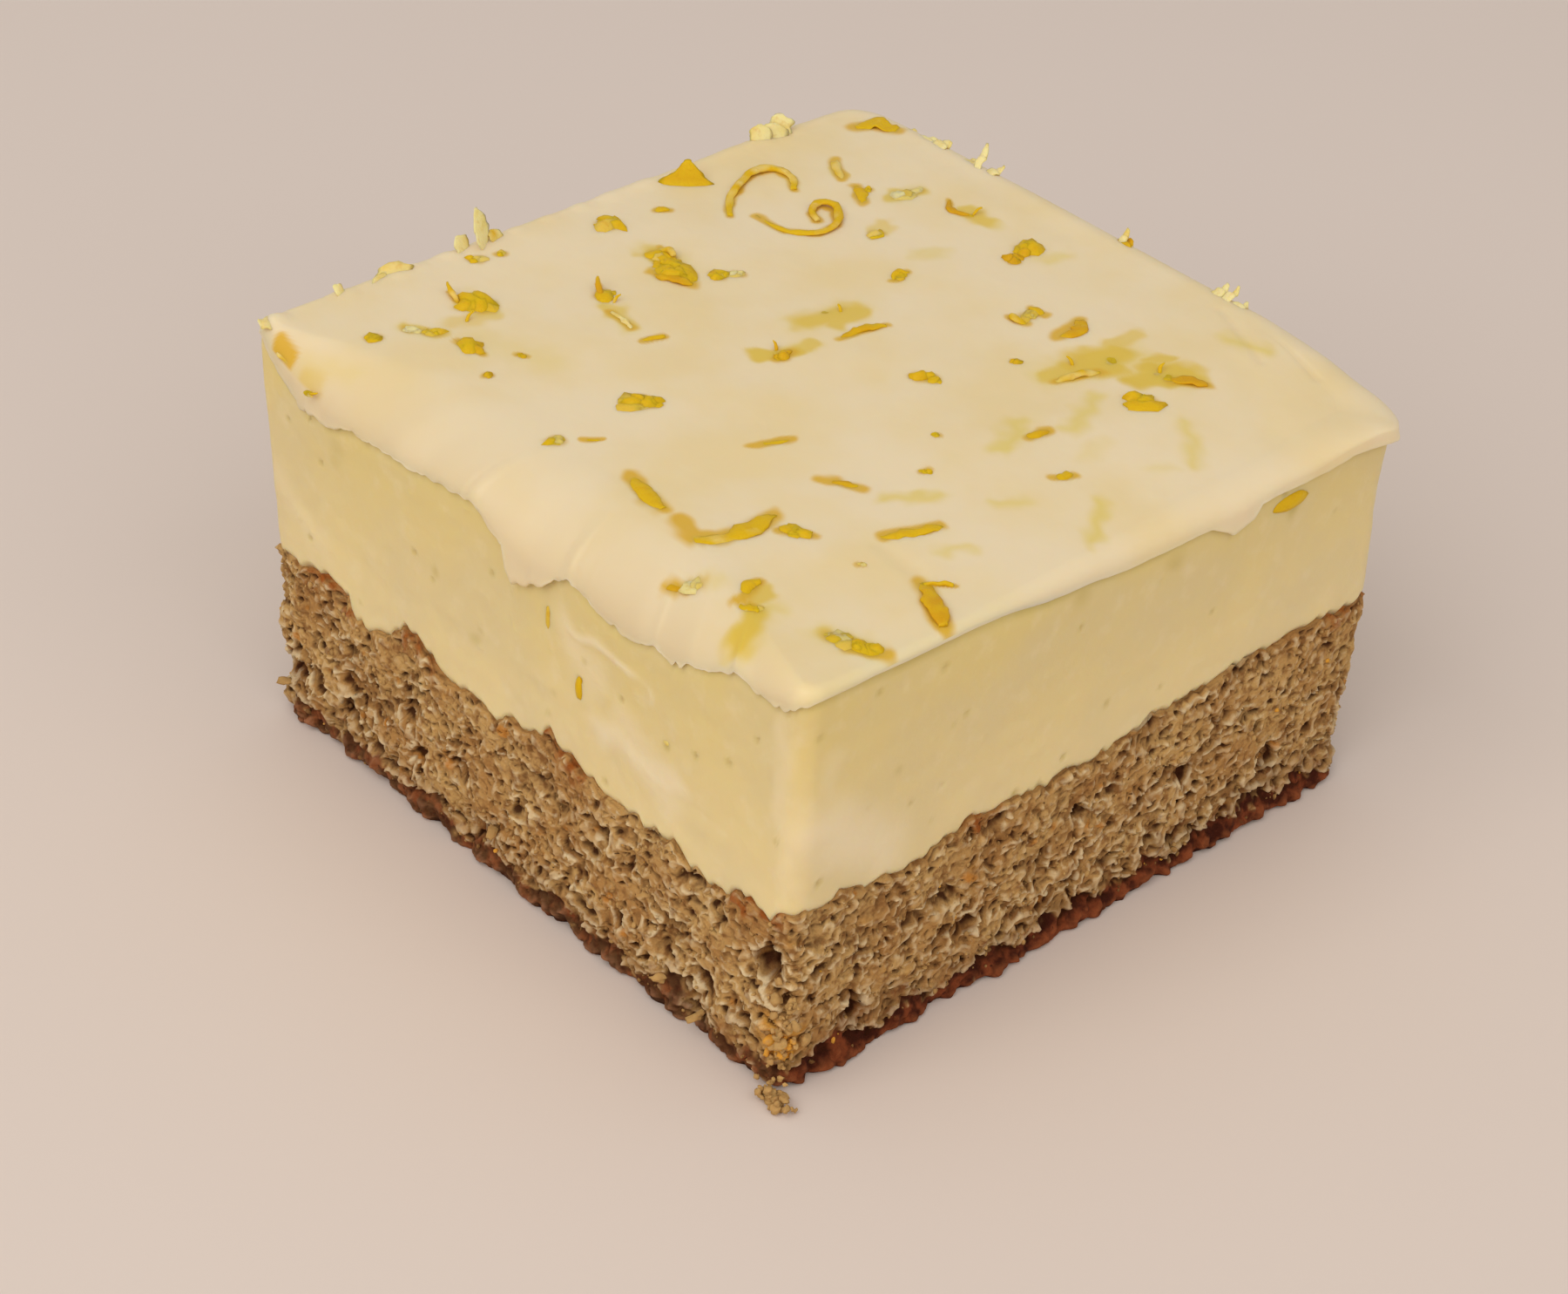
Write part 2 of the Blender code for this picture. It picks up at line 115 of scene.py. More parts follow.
# Radius of the cream's rounded top edge along each face, and how much wider than tall the rounding is
EDGE = {
    "-X": ((-33.0, 1.0), (-30.0, 1.8), (-25.0, 3.6), (-18.0, 4.8), (20.0, 4.8), (29.0, 3.2), (33.0, 0.9)),
    "-Y": ((-33.0, 0.8), (-20.0, 0.7), (-8.0, 1.2), (4.0, 1.9), (20.0, 2.2), (34.0, 3.0)),
    "+X": ((-33.0, 3.0), (-24.0, 2.2), (-16.0, 1.5), (33.0, 1.3)),
    "+Y": ((-33.0, 0.8), (-10.0, 0.9), (34.0, 1.1)),
}
WIDER = {
    "-X": ((-33.0, 1.0), (-27.0, 1.3), (-18.0, 1.5), (22.0, 1.5), (33.0, 1.0)),
    "-Y": ((-33.0, 1.0), (4.0, 1.2), (34.0, 1.3)),
    "+X": ((-33.0, 1.6), (-18.0, 1.2), (33.0, 1.2)),
    "+Y": ((-33.0, 1.0), (34.0, 1.1)),
}
# How far the cream's lip stands out from the filling along each face
LIP = {
    "-X": (
        (-33.0, 0.1), (-29.0, 0.2), (-20.0, 0.3), (-8.0, 0.4), (0.0, 0.6), (3.0, 0.3), (26.0, 0.35),
        (33.0, 0.2),
    ),
    "-Y": ((-33.0, 0.04), (-18.0, 0.04), (-4.0, 0.08), (8.0, 0.2), (13.0, 0.45), (17.0, 0.22), (34.0, 0.25)),
    "+X": ((-33.0, 0.25), (-24.0, 0.6), (-10.0, 0.85), (20.0, 0.85), (33.0, 0.4)),
    "+Y": ((-33.0, 0.25), (34.0, 0.4)),
}
# Height of the sponge's toasted skin along each face, where it meets the filling
SKIN = {
    "-X": (
        (-33.0, 16.9), (-30.6, 16.2), (-28.5, 16.7), (-25.9, 15.5), (-21.7, 15.3), (-20.3, 16.6),
        (-17.2, 15.9), (-9.0, 16.2), (-7.7, 17.2), (-5.6, 17.5), (-4.7, 18.5), (-3.8, 17.3), (-1.2, 16.1),
        (0.4, 16.4), (2.1, 15.7), (8.0, 15.7), (10.1, 16.4), (12.2, 17.6), (14.1, 17.9), (15.7, 16.4),
        (17.2, 15.3), (19.7, 14.5), (21.5, 14.8), (21.9, 16.7), (26.6, 16.9), (28.8, 15.8), (33.0, 16.8),
    ),
    "-Y": (
        (-33.7, 17.2), (-28.8, 17.1), (-25.6, 16.6), (-22.8, 16.4), (-20.4, 15.8), (-19.2, 16.4),
        (-16.2, 17.0), (-14.6, 17.6), (-12.8, 17.4), (-9.0, 16.8), (-5.6, 16.7), (-3.5, 17.1), (-0.4, 16.7),
        (3.4, 17.5), (6.0, 18.2), (7.9, 17.7), (9.3, 18.4), (12.4, 18.0), (14.0, 18.7), (21.4, 18.5),
        (28.2, 18.7), (34.0, 18.4),
    ),
    "+X": (
        (-33.0, 18.4), (-20.0, 17.9), (-10.0, 16.2), (6.0, 18.2), (15.0, 16.0), (24.0, 17.0), (33.0, 16.2),
    ),
    "+Y": (
        (-34.0, 16.8), (-22.0, 17.2), (-14.0, 15.0), (-4.0, 16.4), (6.0, 15.4), (18.0, 17.8), (34.0, 16.2),
    ),
}
# Where the skin is toasted brown-red: x, y and reach along the face
TOASTED = (
    (-33.6, 25.6, 2.2), (-33.6, 22.6, 1.8), (-33.6, 12.6, 2.2), (-33.6, -5.4, 1.2), (-33.6, -8.0, 1.0),
    (-33.6, -28.0, 2.0), (-33.5, -31.0, 1.6), (-13.6, -32.9, 1.6), (30.0, -32.9, 3.2), (32.9, -18.0, 4.0),
    (32.9, 7.0, 3.4), (18.0, 31.4, 4.0), (-22.0, 31.4, 3.0),
)

# Open crumb: large pores as in the solids (cell size, reach, depth, share kept and salt)
PORE_SIZE, PORE_REACH, PORE_DEPTH, PORE_SHARE, PORE_SALT = 4.6, 0.4, 0.6, 0.8, 21
# Torn plates between ragged pores, from coarse to fine: size, level where a pore starts, depth and salt
TORN = ((2.4, 0.12, 0.42, 361), (1.2, 0.12, 0.26, 371))
# Small pores with a cell each, from coarse to fine: cell size, reach, depth, share kept and salt
SMALL_PORES = ((1.5, 0.4, 0.55, 0.7, 435), (0.85, 0.42, 0.3, 0.7, 445))
LUMP_SIZE, LUMP_DEPTH = 3.4, 0.4
GRAIN_SIZE, GRAIN_HEIGHT = 0.6, 0.09
# How far a pore's floor slopes up under the plate above it, as a share of its depth
UNDERCUT = 0.3
# Single holes that show in the cut faces: x, y, z, radius and depth
HOLES = (
    (-33.6, -11.1, 12.4, 1.5, 1.7), (-33.7, -31.0, 11.4, 1.9, 2.4), (11.0, -32.9, 9.7, 1.2, 1.5),
    (-33.6, 30.8, 4.8, 1.5, 2.4), (-33.6, 22.0, 4.9, 1.5, 1.6), (-33.6, 18.4, 3.4, 1.3, 1.6),
    (-33.6, 26.0, 5.6, 1.4, 1.2), (-33.6, 11.8, 6.2, 1.3, 1.3), (-33.6, 3.0, 3.2, 1.2, 1.4),
    (-33.6, -14.0, 5.2, 1.1, 1.3), (-33.6, -22.5, 3.6, 1.3, 1.5), (-26.0, -32.9, 4.4, 1.3, 1.6),
    (-21.0, -32.9, 8.4, 1.1, 1.2), (22.0, -32.9, 6.4, 1.8, 1.5), (-1.5, -32.9, 11.6, 1.3, 1.4),
)
# Baked crust: its mean height, how much its crags and its fine edge add, and how far above it the crumb
# is still a little browned
CRUST_LEVEL, CRUST_CRAGS, CRUST_EDGE, TINGE_REACH = 2.5, 2.4, 0.7, 3.4
# Height to which a tooth of the crust may lift the foot, and by how much
TOOTH_REACH, TOOTH_LIFT = 2.6, 0.9
# The broken corner: its middle, radius and how far it stands out
BREAK_AT, BREAK_RADIUS, BREAK_OUT = (-33.7, -32.9, 6.6), 2.6, 0.8
LEDGE_HEIGHT, LEDGE_ON_CUT_FACE, LEDGE_ON_CLEAN_FACE = 2.2, 0.4, 0.8

# Zest lying on the cream: its path, width, bow, height of its arch, rise of its far end, tone and taper
STRIPS = (
    (((-25.7, -10.1), (-26.4, -12.6), (-25.2, -13.9), (-22.1, -14.4), (-19.4, -13.8)),
     1.7, 0, 0.15, 0.1, 0.45, 0.7),
    (((-24.5, -3.1), (-25.3, -5.4), (-25.6, -8.2)), 1.5, 0, 0.2, 0.1, 0.55, 0),
    (((10.8, 25.2), (12.6, 27.4), (15.3, 29.1), (18.2, 30.3), (20.1, 29.6), (20.3, 27.6), (19.0, 25.8)),
     0.85, 0, 0.7, 0.1, 0.35, 0),
    (((12.8, 24.0), (13.0, 20.4), (14.9, 18.3), (17.4, 18.5), (19.3, 20.6), (18.9, 22.2), (17.2, 21.6),
      (16.5, 20.0)),
     0.85, 0, 0.6, 0.3, 0.4, 0.2),
    (((-16.7, -27.3), (-18.2, -30.0), (-19.6, -32.6)), 1.5, 0, 0.4, 0.3, 0.85, 0),
    (((-16.8, -27.4), (-15.2, -29.2)), 0.5, 0.1, 0.2, 0.2, 0.6, 0),
    (((-14.8, -20.9), (-9.9, -22.5)), 1.0, -0.3, 0.2, 0.1, 0.6, 0),
    (((-13.9, -5.1), (-10.4, -6.3)), 0.85, -0.2, 0.1, 0, 0.6, 0),
    (((3.7, 3.5), (8.4, 2.8)), 0.8, 0.35, 0.3, 0.1, 0.75, 0),
    (((-12.9, -12.2), (-11.2, -14.8)), 1.3, 0.1, 0.1, 0, 0.8, 0),
    (((-10.1, 12.8), (-8.0, 12.1)), 0.7, 0, 0.1, 0, 0.5, 0),
    (((-24.2, 3.2), (-23.0, 2.4)), 0.5, 0, 0.1, 0, 0.6, 0),
    (((29.3, 16.4), (27.9, 15.0), (28.6, 13.2)), 0.6, 0, 0.3, 0, 0.95, 0),
    (((19.2, -6.9), (22.6, -6.0)), 1.3, -0.9, 0.3, 0, 0.8, 0),
    (((14.6, 8.3), (16.7, 8.6)), 0.8, 0.6, 0.2, 0, 0.6, 0),
    (((-28.4, -20.9), (-26.5, -20.2)), 1.0, 0.5, 0.2, 0.2, 0.5, 0),
    (((-29.5, -21.2), (-29.1, -22.8)), 1.1, -0.3, 0.2, 0.2, 0.6, 0),
    (((26.3, 28.1), (25.2, 26.9), (24.1, 25.0)), 1.1, 0, 0.4, 0, 0.3, 0),
    (((24.1, 23.1), (22.3, 20.5)), 1.1, 0.2, 0.3, 0, 0.65, 0),
    (((-32.3, -16.3), (-31.2, -17.8)), 1.0, 0, 0.1, 0, 0.85, 0),
    (((5.0, -17.2), (7.4, -17.3)), 1.1, 0, 0.2, 0, 0.8, 0),
    (((2.3, -22.8), (3.9, -23.2)), 0.9, 0, 0.1, 0, 0.55, 0),
    (((21.6, -17.6), (23.4, -20.0)), 1.2, 0, 0.3, 0.1, 0.95, 0),
    (((32.4, 32.0), (34.2, 31.4), (35.2, 29.4)), 1.7, 0, 0.3, 0, 0.5, 0),
    (((18.4, -3.9), (18.2, -2.2)), 0.9, 0.1, 0.3, 0.3, 0.4, 0),
    (((20.9, -3.6), (20.6, -2.2)), 0.8, 0, 0.3, 0.3, 0.45, 0),
    (((-8.2, 19.8), (-7.0, 22.0)), 0.5, 0.2, 0.5, 0.9, 0.85, 0),
    (((-18.4, 26.4), (-18.0, 28.4)), 0.45, 0.1, 0.4, 0.9, 0.4, 0),
    (((-33.2, 31.2), (-33.4, 28.8)), 0.8, 0, 0.1, 0, 0.3, 0),
    (((0.6, 23.8), (0.0, 20.4)), 1.3, 0.3, 0.5, 0.1, 0.7, 0),
    (((-1.6, 21.2), (-0.2, 17.6)), 1.2, -0.3, 0.5, 0.1, 0.85, 0),
    (((1.8, 24.2), (1.4, 21.8)), 0.8, 0.1, 0.5, 0.6, 0.3, 0),
    (((6.0, 29.9), (7.2, 29.2)), 0.7, 0, 0.2, 0, 0.5, 0),
    (((-22.4, 21.2), (-22.1, 18.4)), 1.0, 0.2, 0.4, 0.2, 0.85, 0),
    (((-20.4, -15.6), (-19.0, -17.6)), 1.1, 0.2, 0.2, 0.1, 0.6, 0),
    (((13.4, -12.2), (17.6, -13.2)), 0.9, 0.2, 0.3, 0.1, 0.35, 0),
    (((-27.0, -30.4), (-25.4, -32.8)), 1.5, 0, 0.2, 0, 0.55, 0),
    (((-9.0, 17.8), (-9.4, 14.8)), 0.8, 0.2, 0.2, 0, 0.15, 0),
    (((-3.0, 4.0), (-1.0, 4.3)), 1.0, 0, 0.2, 0, 0.8, 0),
)
# Chunky flecks half sunk in the cream: x, y, length, width, heading, height and tone
FLECKS = (
    (-27.7, 25.7, 1.4, 1.2, -35, 0.5, 0.6), (-23.3, 23.6, 1.7, 1.3, -64, 0.5, 0.45),
    (-24.6, 25.0, 1.5, 1.0, -64, 0.3, 0.2), (-17.2, 25.0, 3.0, 2.4, -80, 1.0, 0.45),
    (-22.1, 19.8, 1.9, 1.6, -94, 0.7, 0.75), (-24.0, 15.4, 0.9, 0.7, 0, 0.4, 0.95),
    (0.8, 30.0, 2.0, 1.9, -41, 1.0, 0.5), (0.1, 20.2, 3.8, 2.4, -100, 0.9, 0.65),
    (0.9, 23.0, 2.0, 1.8, -60, 0.5, 0.3), (2.8, 17.4, 1.7, 1.4, -26, 0.5, 0.5),
    (4.2, 16.8, 1.3, 1.0, -26, 0.3, 0.2), (-16.7, 5.2, 2.2, 2.0, -56, 0.8, 0.45),
    (-16.0, 4.3, 1.6, 1.3, -30, 0.7, 0.6), (-25.9, 4.3, 1.4, 1.2, -35, 0.3, 0.35),
    (-2.4, 3.8, 1.2, 1.0, 8, 0.6, 0.75), (25.8, 4.9, 1.7, 1.4, 60, 0.8, 0.95),
    (28.1, 5.6, 2.4, 2.0, 0, 0.9, 0.7), (13.1, -7.8, 1.0, 0.7, -62, 0.4, 0.75),
    (5.0, -5.5, 2.5, 1.4, -35, 0.6, 0.55), (17.0, -18.7, 2.0, 2.0, -46, 0.9, 0.6),
    (-19.7, -16.6, 1.7, 1.3, -50, 0.6, 0.6), (-0.7, -12.5, 0.8, 0.6, -35, 0.3, 0.45),
    (-5.3, -16.1, 1.0, 0.7, -28, 0.4, 0.6), (-12.4, 31.6, 1.5, 1.2, -20, 0.4, 0.35),
    (-10.2, 31.2, 1.3, 0.9, -20, 0.4, 0.4), (-30.7, -17.8, 1.8, 1.5, -9, 0.4, 0.2),
    (-26.1, -31.6, 2.5, 1.7, -58, 0.6, 0.5), (-27.0, -29.2, 2.4, 1.6, -59, 0.3, 0.25),
    (-18.8, -22.9, 0.8, 0.5, -36, 0.3, 0.35), (-19.7, 16.4, 1.3, 0.6, -56, 0.2, 0.9),
    (-7.6, 20.4, 1.8, 1.5, 19, 0.5, 0.5), (19.4, -3.0, 1.8, 1.3, -7, 0.5, 0.4),
    (-29.3, -22.6, 1.3, 1.0, -72, 0.3, 0.4), (26.4, 19.4, 1.9, 1.3, -4, 0.4, 0.2),
    (28.0, 19.3, 1.5, 1.0, -4, 0.3, 0.25), (19.2, 15.3, 1.7, 1.2, -7, 0.4, 0.35),
    (24.4, 22.0, 0.9, 0.7, 0, 0.4, 0.6), (15.7, 8.4, 1.5, 0.9, 8, 0.4, 0.5),
)
# Pale tatters of pith and zest: x, y, length, width, heading and how many strips each has
TATTERS = (
    (18.6, -11.9, 5.6, 2.4, -20, 6), (21.4, -16.0, 4.0, 2.4, -47, 5), (-1.3, 4.6, 3.8, 1.3, -14, 4),
    (5.6, 6.8, 4.0, 1.8, -3, 4), (29.0, 12.6, 2.8, 1.2, -89, 2), (-8.2, 18.4, 2.4, 1.0, -106, 2),
    (-35.0, 24.2, 2.6, 1.0, -120, 3), (-20.2, 24.0, 2.0, 1.2, -60, 2),
)
# Patches of tatters that lie flush in the cream: two ends, half width and strength
PATCHES = (
    (13.6, -11.3, 16.2, -11.8, 1.1, 0.8), (16.4, -11.6, 19.1, -13.4, 1.5, 1),
    (18.0, -11.0, 21.0, -11.9, 1.8, 1), (21.0, -10.9, 25.2, -10.3, 0.9, 0.7),
    (18.8, -15.8, 21.6, -17.3, 1.3, 1), (22.8, -14.2, 24.3, -15.2, 0.8, 0.9),
    (21.6, -15.6, 23.5, -17.6, 1.6, 1), (-4.0, 5.4, -0.6, 4.2, 0.9, 0.95), (-0.6, 4.2, 1.3, 4.2, 0.7, 0.7),
    (3.2, 7.2, 7.8, 6.2, 1.5, 0.9), (5.2, 5.2, 8.4, 5.4, 0.9, 0.9), (25.4, 19.8, 28.4, 19.2, 0.9, 0.8),
    (29.2, 14.0, 29.0, 11.4, 1.0, 0.8), (24.8, 27.0, 24.2, 25.0, 0.6, 0.7),
    (-33.0, -25.4, -29.6, -23.6, 1.3, 1), (-27.2, -28.6, -26.0, -31.0, 1.1, 0.75),
    (-28.4, -21.6, -27.2, -21.6, 1.0, 0.9), (21.4, 16.4, 19.4, 15.4, 0.9, 0.6),
    (-20.6, 23.8, -17.8, 23.2, 1.2, 0.5), (0.6, 24.0, 0.4, 20.0, 1.2, 0.9),
    (-34.4, 24.7, -36.6, 22.6, 0.8, 0.5), (-18.0, 25.8, -16.6, 24.4, 1.1, 0.9),
    (-24.6, 25.4, -22.6, 23.2, 0.8, 0.8), (-8.4, 18.6, -9.2, 15.2, 0.9, 0.6),
)
# Bits that stand up at the rim, in the same form
STANDING = (
    (((-10.9, 32.1), (-11.3, 33.2)), 2.4, 0.1, 0, 3.9, 0.0, -1),
    (((-12.9, 32.4), (-13.2, 33.3)), 2.2, 0, 0, 1.9, 0.0, -0.6),
    (((-9.4, 32.2), (-9.7, 33.2)), 1.5, 0, 0, 1.2, 0.2, -0.6),
    (((9.8, 29.6), (11.4, 31.7)), 4.4, 0, 0, 2.0, 0.7, -1),
    (((21.0, 32.5), (21.4, 33.4)), 2.2, 0, 0, 2.2, 0.05, -0.6),
    (((22.2, 32.4), (22.7, 33.3)), 3.6, 0, 0, 1.9, 0.0, -0.6),
    (((23.4, 32.5), (23.9, 33.3)), 2.6, 0, 0, 2.5, 0.0, -0.6),
    (((-20.2, 32.5), (-19.8, 33.4)), 3.6, 0, 0, 1.4, 0.1, -0.6),
    (((-21.6, 32.5), (-21.8, 33.3)), 2.0, 0, 0, 0.7, 0.2, -0.6),
    (((-25.6, 32.5), (-25.9, 33.4)), 1.6, 0, 0, 1.5, 0.0, -0.6),
    (((-33.0, 32.2), (-33.9, 33.0)), 1.8, 0, 0, 1.3, 0.0, -0.6),
    (((33.0, 26.6), (34.6, 26.4)), 2.6, 0, 0, 1.0, 0.2, -0.6),
    (((33.0, 24.2), (34.7, 24.0)), 2.4, 0, 0, 1.2, 0.0, -0.6),
    (((33.0, 22.4), (34.7, 22.0)), 1.8, 0, 0, 1.6, 0.0, -0.6),
    (((33.0, 17.0), (34.9, 17.6)), 0.9, 0, 0, 3.1, 0.0, -0.6),
    (((33.0, 15.9), (34.8, 15.2)), 1.2, 0, 0, 1.9, 0.05, -0.6),
    (((33.0, 18.2), (34.7, 18.8)), 1.8, 0, 0, 1.1, 0.0, -0.6),
    (((33.2, -0.4), (34.6, -0.7)), 2.0, 0, 0, 1.5, 0.85, -0.6),
    (((33.4, -0.4), (34.6, -0.2)), 0.9, 0, 0, 2.3, 0.05, -0.6),
    (((33.0, -11.6), (34.7, -11.8)), 1.2, 0, 0, 2.2, 0.0, -0.6),
    (((33.0, -12.8), (34.7, -13.0)), 1.1, 0, 0, 2.4, 0.0, -0.6),
    (((33.0, -14.0), (34.6, -14.2)), 1.4, 0, 0, 1.5, 0.0, -0.6),
)
# Pale stains where zest lies under the skin of the cream: two ends, half width and strength
STAINS = (
    (19.6, 10.3, 21.8, 9.4, 1.08, 0.59), (28.1, 3.4, 30.3, 3.0, 1.08, 0.65),
    (9.1, -18.1, 14.4, -15.8, 1.08, 0.91), (2.0, -17.1, 6.2, -15.1, 1.2, 0.98),
    (-4.2, -22.7, -2.5, -23.8, 0.84, 0.78), (-2.0, -30.9, 2.7, -27.6, 0.96, 0.98),
    (17.1, -23.2, 13.0, -28.3, 1.08, 0.78), (31.0, -15.4, 32.0, -18.7, 1.08, 0.91),
    (-10.8, -17.1, -7.3, -19.3, 0.96, 0.91), (-33.0, -25.6, -28.8, -23.4, 1.56, 1),
    (-12.5, -25.2, -10.3, -26.2, 0.96, 0.72), (-8.5, 18.6, -9.4, 15.0, 1.08, 0.78),
    (-20.5, 21.0, -18.6, 14.5, 1.92, 0.33), (13.8, -11.1, 21.7, -12.6, 2.28, 0.85),
    (19.3, -15.3, 22.6, -18.4, 1.68, 0.78), (-3.8, 5.3, 1.3, 4.0, 1.08, 0.78),
    (3.0, 7.1, 8.0, 6.4, 1.92, 0.72), (-33.4, 27.5, -32.6, 22.0, 1.2, 0.35),
    (29.2, 14.2, 29.2, 10.6, 1.08, 0.72), (-27.4, -28.2, -25.8, -31.4, 1.56, 0.65),
    (25.2, 19.5, 28.6, 19.2, 1.08, 0.52), (-17.0, 26.6, -17.4, 23.6, 1.56, 0.52),
    (-30.4, -17.6, -29.0, -18.2, 1.08, 0.52), (0.8, 24.6, 1.2, 21.8, 1.44, 0.65),
    (-24.8, 25.6, -23.6, 23.6, 1.2, 0.52), (7.0, -22.0, 9.0, -21.0, 1.2, 0.39),
    (9.6, -26.4, 11.2, -27.2, 0.84, 0.39),
)
# Shallow creases left by the spreading knife: two ends, half width and depth
CREASES = (
    (-16.1, -22.0, -16.6, -27.4, 0.9, 0.12), (-30.8, -7.0, -31.8, -12.5, 0.5, 0.15),
    (31.4, 24.0, 30.6, 4.0, 1.4, 0.07), (26.0, -21.0, 21.0, -29.0, 1.6, 0.1),
    (31.6, -14.0, 28.0, -21.5, 0.5, 0.12), (32.6, -19.0, 30.4, -25.5, 0.5, 0.12),
)
# Whiter smears on the cut filling: two ends, half width and strength
SMEARS = (
    ((-33.5, -5.6, 30.0), (-33.5, -16.4, 28.6), 0.7, 0.9),
    ((-33.5, -6.0, 29.2), (-33.5, -9.6, 25.8), 2.2, 0.55),
    ((-33.5, -10.8, 21.7), (-33.5, -20.0, 22.1), 1.6, 0.9),
    ((-33.5, -14.0, 24.0), (-33.5, -19.0, 20.0), 2.0, 0.6),
    ((-33.5, -30.6, 33.4), (-33.5, -32.6, 20.0), 1.3, 0.5),
    ((-31.6, -33.0, 24.5), (-24.0, -33.0, 19.5), 3.2, 0.95),
    ((-30.0, -33.0, 30.5), (-31.5, -33.0, 24.0), 1.2, 0.4),
    ((-33.5, 31.0, 24.0), (-33.5, 26.0, 20.0), 2.0, 0.35),
)
# Greenish stains in the cut filling: x, y, z, reach and strength
FILLING_STAINS = (
    (-33.5, 4.9, 21.6, 1.3, 0.45), (-33.5, 10.0, 26.0, 0.8, 0.5), (-33.5, -18.3, 25.2, 0.8, 0.8),
    (-33.5, -5.2, 33.4, 1.0, 0.7), (-33.5, 0.0, 29.0, 0.8, 0.4), (-33.5, 23.0, 30.4, 1.6, 0.35),
    (-23.6, -33.1, 26.2, 0.8, 0.8), (-22.6, -33.1, 24.2, 0.6, 0.5), (20.3, -33.2, 32.6, 1.4, 0.8),
    (-5.0, -33.2, 34.2, 1.6, 0.5), (6.0, -33.2, 33.6, 1.6, 0.5), (25.6, -33.1, 29.4, 0.6, 0.5),
)
# Zest set in the cut filling: its middle, radii and tone
ZEST_IN_FILLING = (
    ((-33.45, -8.1, 24.3), (0.3, 0.42, 1.35), 0.6), ((-33.5, -4.3, 28.9), (0.25, 0.35, 1.1), 0.35),
    ((19.4, -33.0, 33.2), (2.1, 0.4, 0.75), 0.5), ((-33.45, -18.4, 25.1), (0.2, 0.5, 0.3), 0.2),
)
# Where the filling sank below the cream at the right corner: its middle, reach and depth
SUNK_AT, SUNK_REACH, SUNK_DEPTH = (34.0, -33.2, 28.0), 9.0, 0.6
# Crumbs at the broken corner and those fallen from it: how many, middle and spread; and single flakes
CLINGING = (110, (-33.5, -32.9, 5.8), (0.6, 0.6, 1.6))
FALLEN = (60, (-34.8, -33.5, 0.6), (0.3, 0.75, 0.3))
FLAKES = ((-33.9, -19.2, 2.6), (-34.0, -23.8, 1.9), (-34.0, 2.0, 4.4), (-34.0, 30.6, 3.3))
FLAKE_RADII = (0.5, 0.75, 0.3)
# How far the cream is gold beside a bit of zest, and how deep a fleck and a flake of zest sit in it
HALO = 0.08
FLECK_SINKS, FLAKE_SINKS, FLAKE_THICK = 0.58, 0.11, 0.1
# Points round and up each surface, or along one side of the cream's top
SPONGE_GRID, FILLING_GRID, CREAM_ACROSS = (1900, 130), (880, 66), 300
# The uppermost rows of the cream's edge, which show the marks of its top
SHOWN_ROWS = 13
# The stage: each light's name, place and side in metres, power in watts and colour; where both look; the
# sky; and half the floor's side in mm
LIGHTS = (
    ("window_light", (-0.62, -0.1, 0.66), 0.8, 3.9, (1.0, 0.97, 0.92)),
    ("room_light", (-0.1, -0.8, 0.6), 0.9, 2.3, (1.0, 0.95, 0.88)),
)
LIT_PLACE = (0.0, 0.0, 0.02)
SKY_COLOUR, SKY_STRENGTH = (1.0, 0.98, 0.96, 1.0), 0.52
FLOOR_HALF = 1600.0


def linear(code):
    """The linear red, green and blue of an sRGB hex colour such as #dfc9a2."""
    levels = np.array([int(code[place:place + 2], 16) for place in (1, 3, 5)]) / 255
    return tuple(np.where(levels <= 0.04045, levels / 12.92, ((levels + 0.055) / 1.055) ** 2.4).tolist())


def tint(name, description, code):
    """A colour setting with its sRGB hex default."""
    return bpy.props.FloatVectorProperty(
        name=name, description=description, subtype="COLOR", default=linear(code))


class CheesecakeSizes(bpy.types.PropertyGroup):
    """Sizes that change how worked, cut and spread the cake looks."""

    crumb_strength: bpy.props.FloatProperty(
        name="Crumb strength", description="How deep the crumb's pores are, as a share of the real depth",
        default=1.0, min=0.0, max=2.0)
    grain_count: bpy.props.IntProperty(
        name="Crumb grains", description="How many loose grains cling to the cut sponge",
        default=2200, min=0)
    edge_softness: bpy.props.FloatProperty(
        name="Edge softness", description="Roundness of the cream's top edge, as a share of the real one",
        default=1.0, min=0.1, max=1.5)
    lip_strength: bpy.props.FloatProperty(
        name="Lip", description="How far the cream stands out from the filling, as a share of the real lip",
        default=1.0, min=0.0, max=2.0)
    zest_thickness: bpy.props.FloatProperty(
        name="Zest thickness", description="Thickness of a shred of zest", default=0.42 * MM, unit="LENGTH")


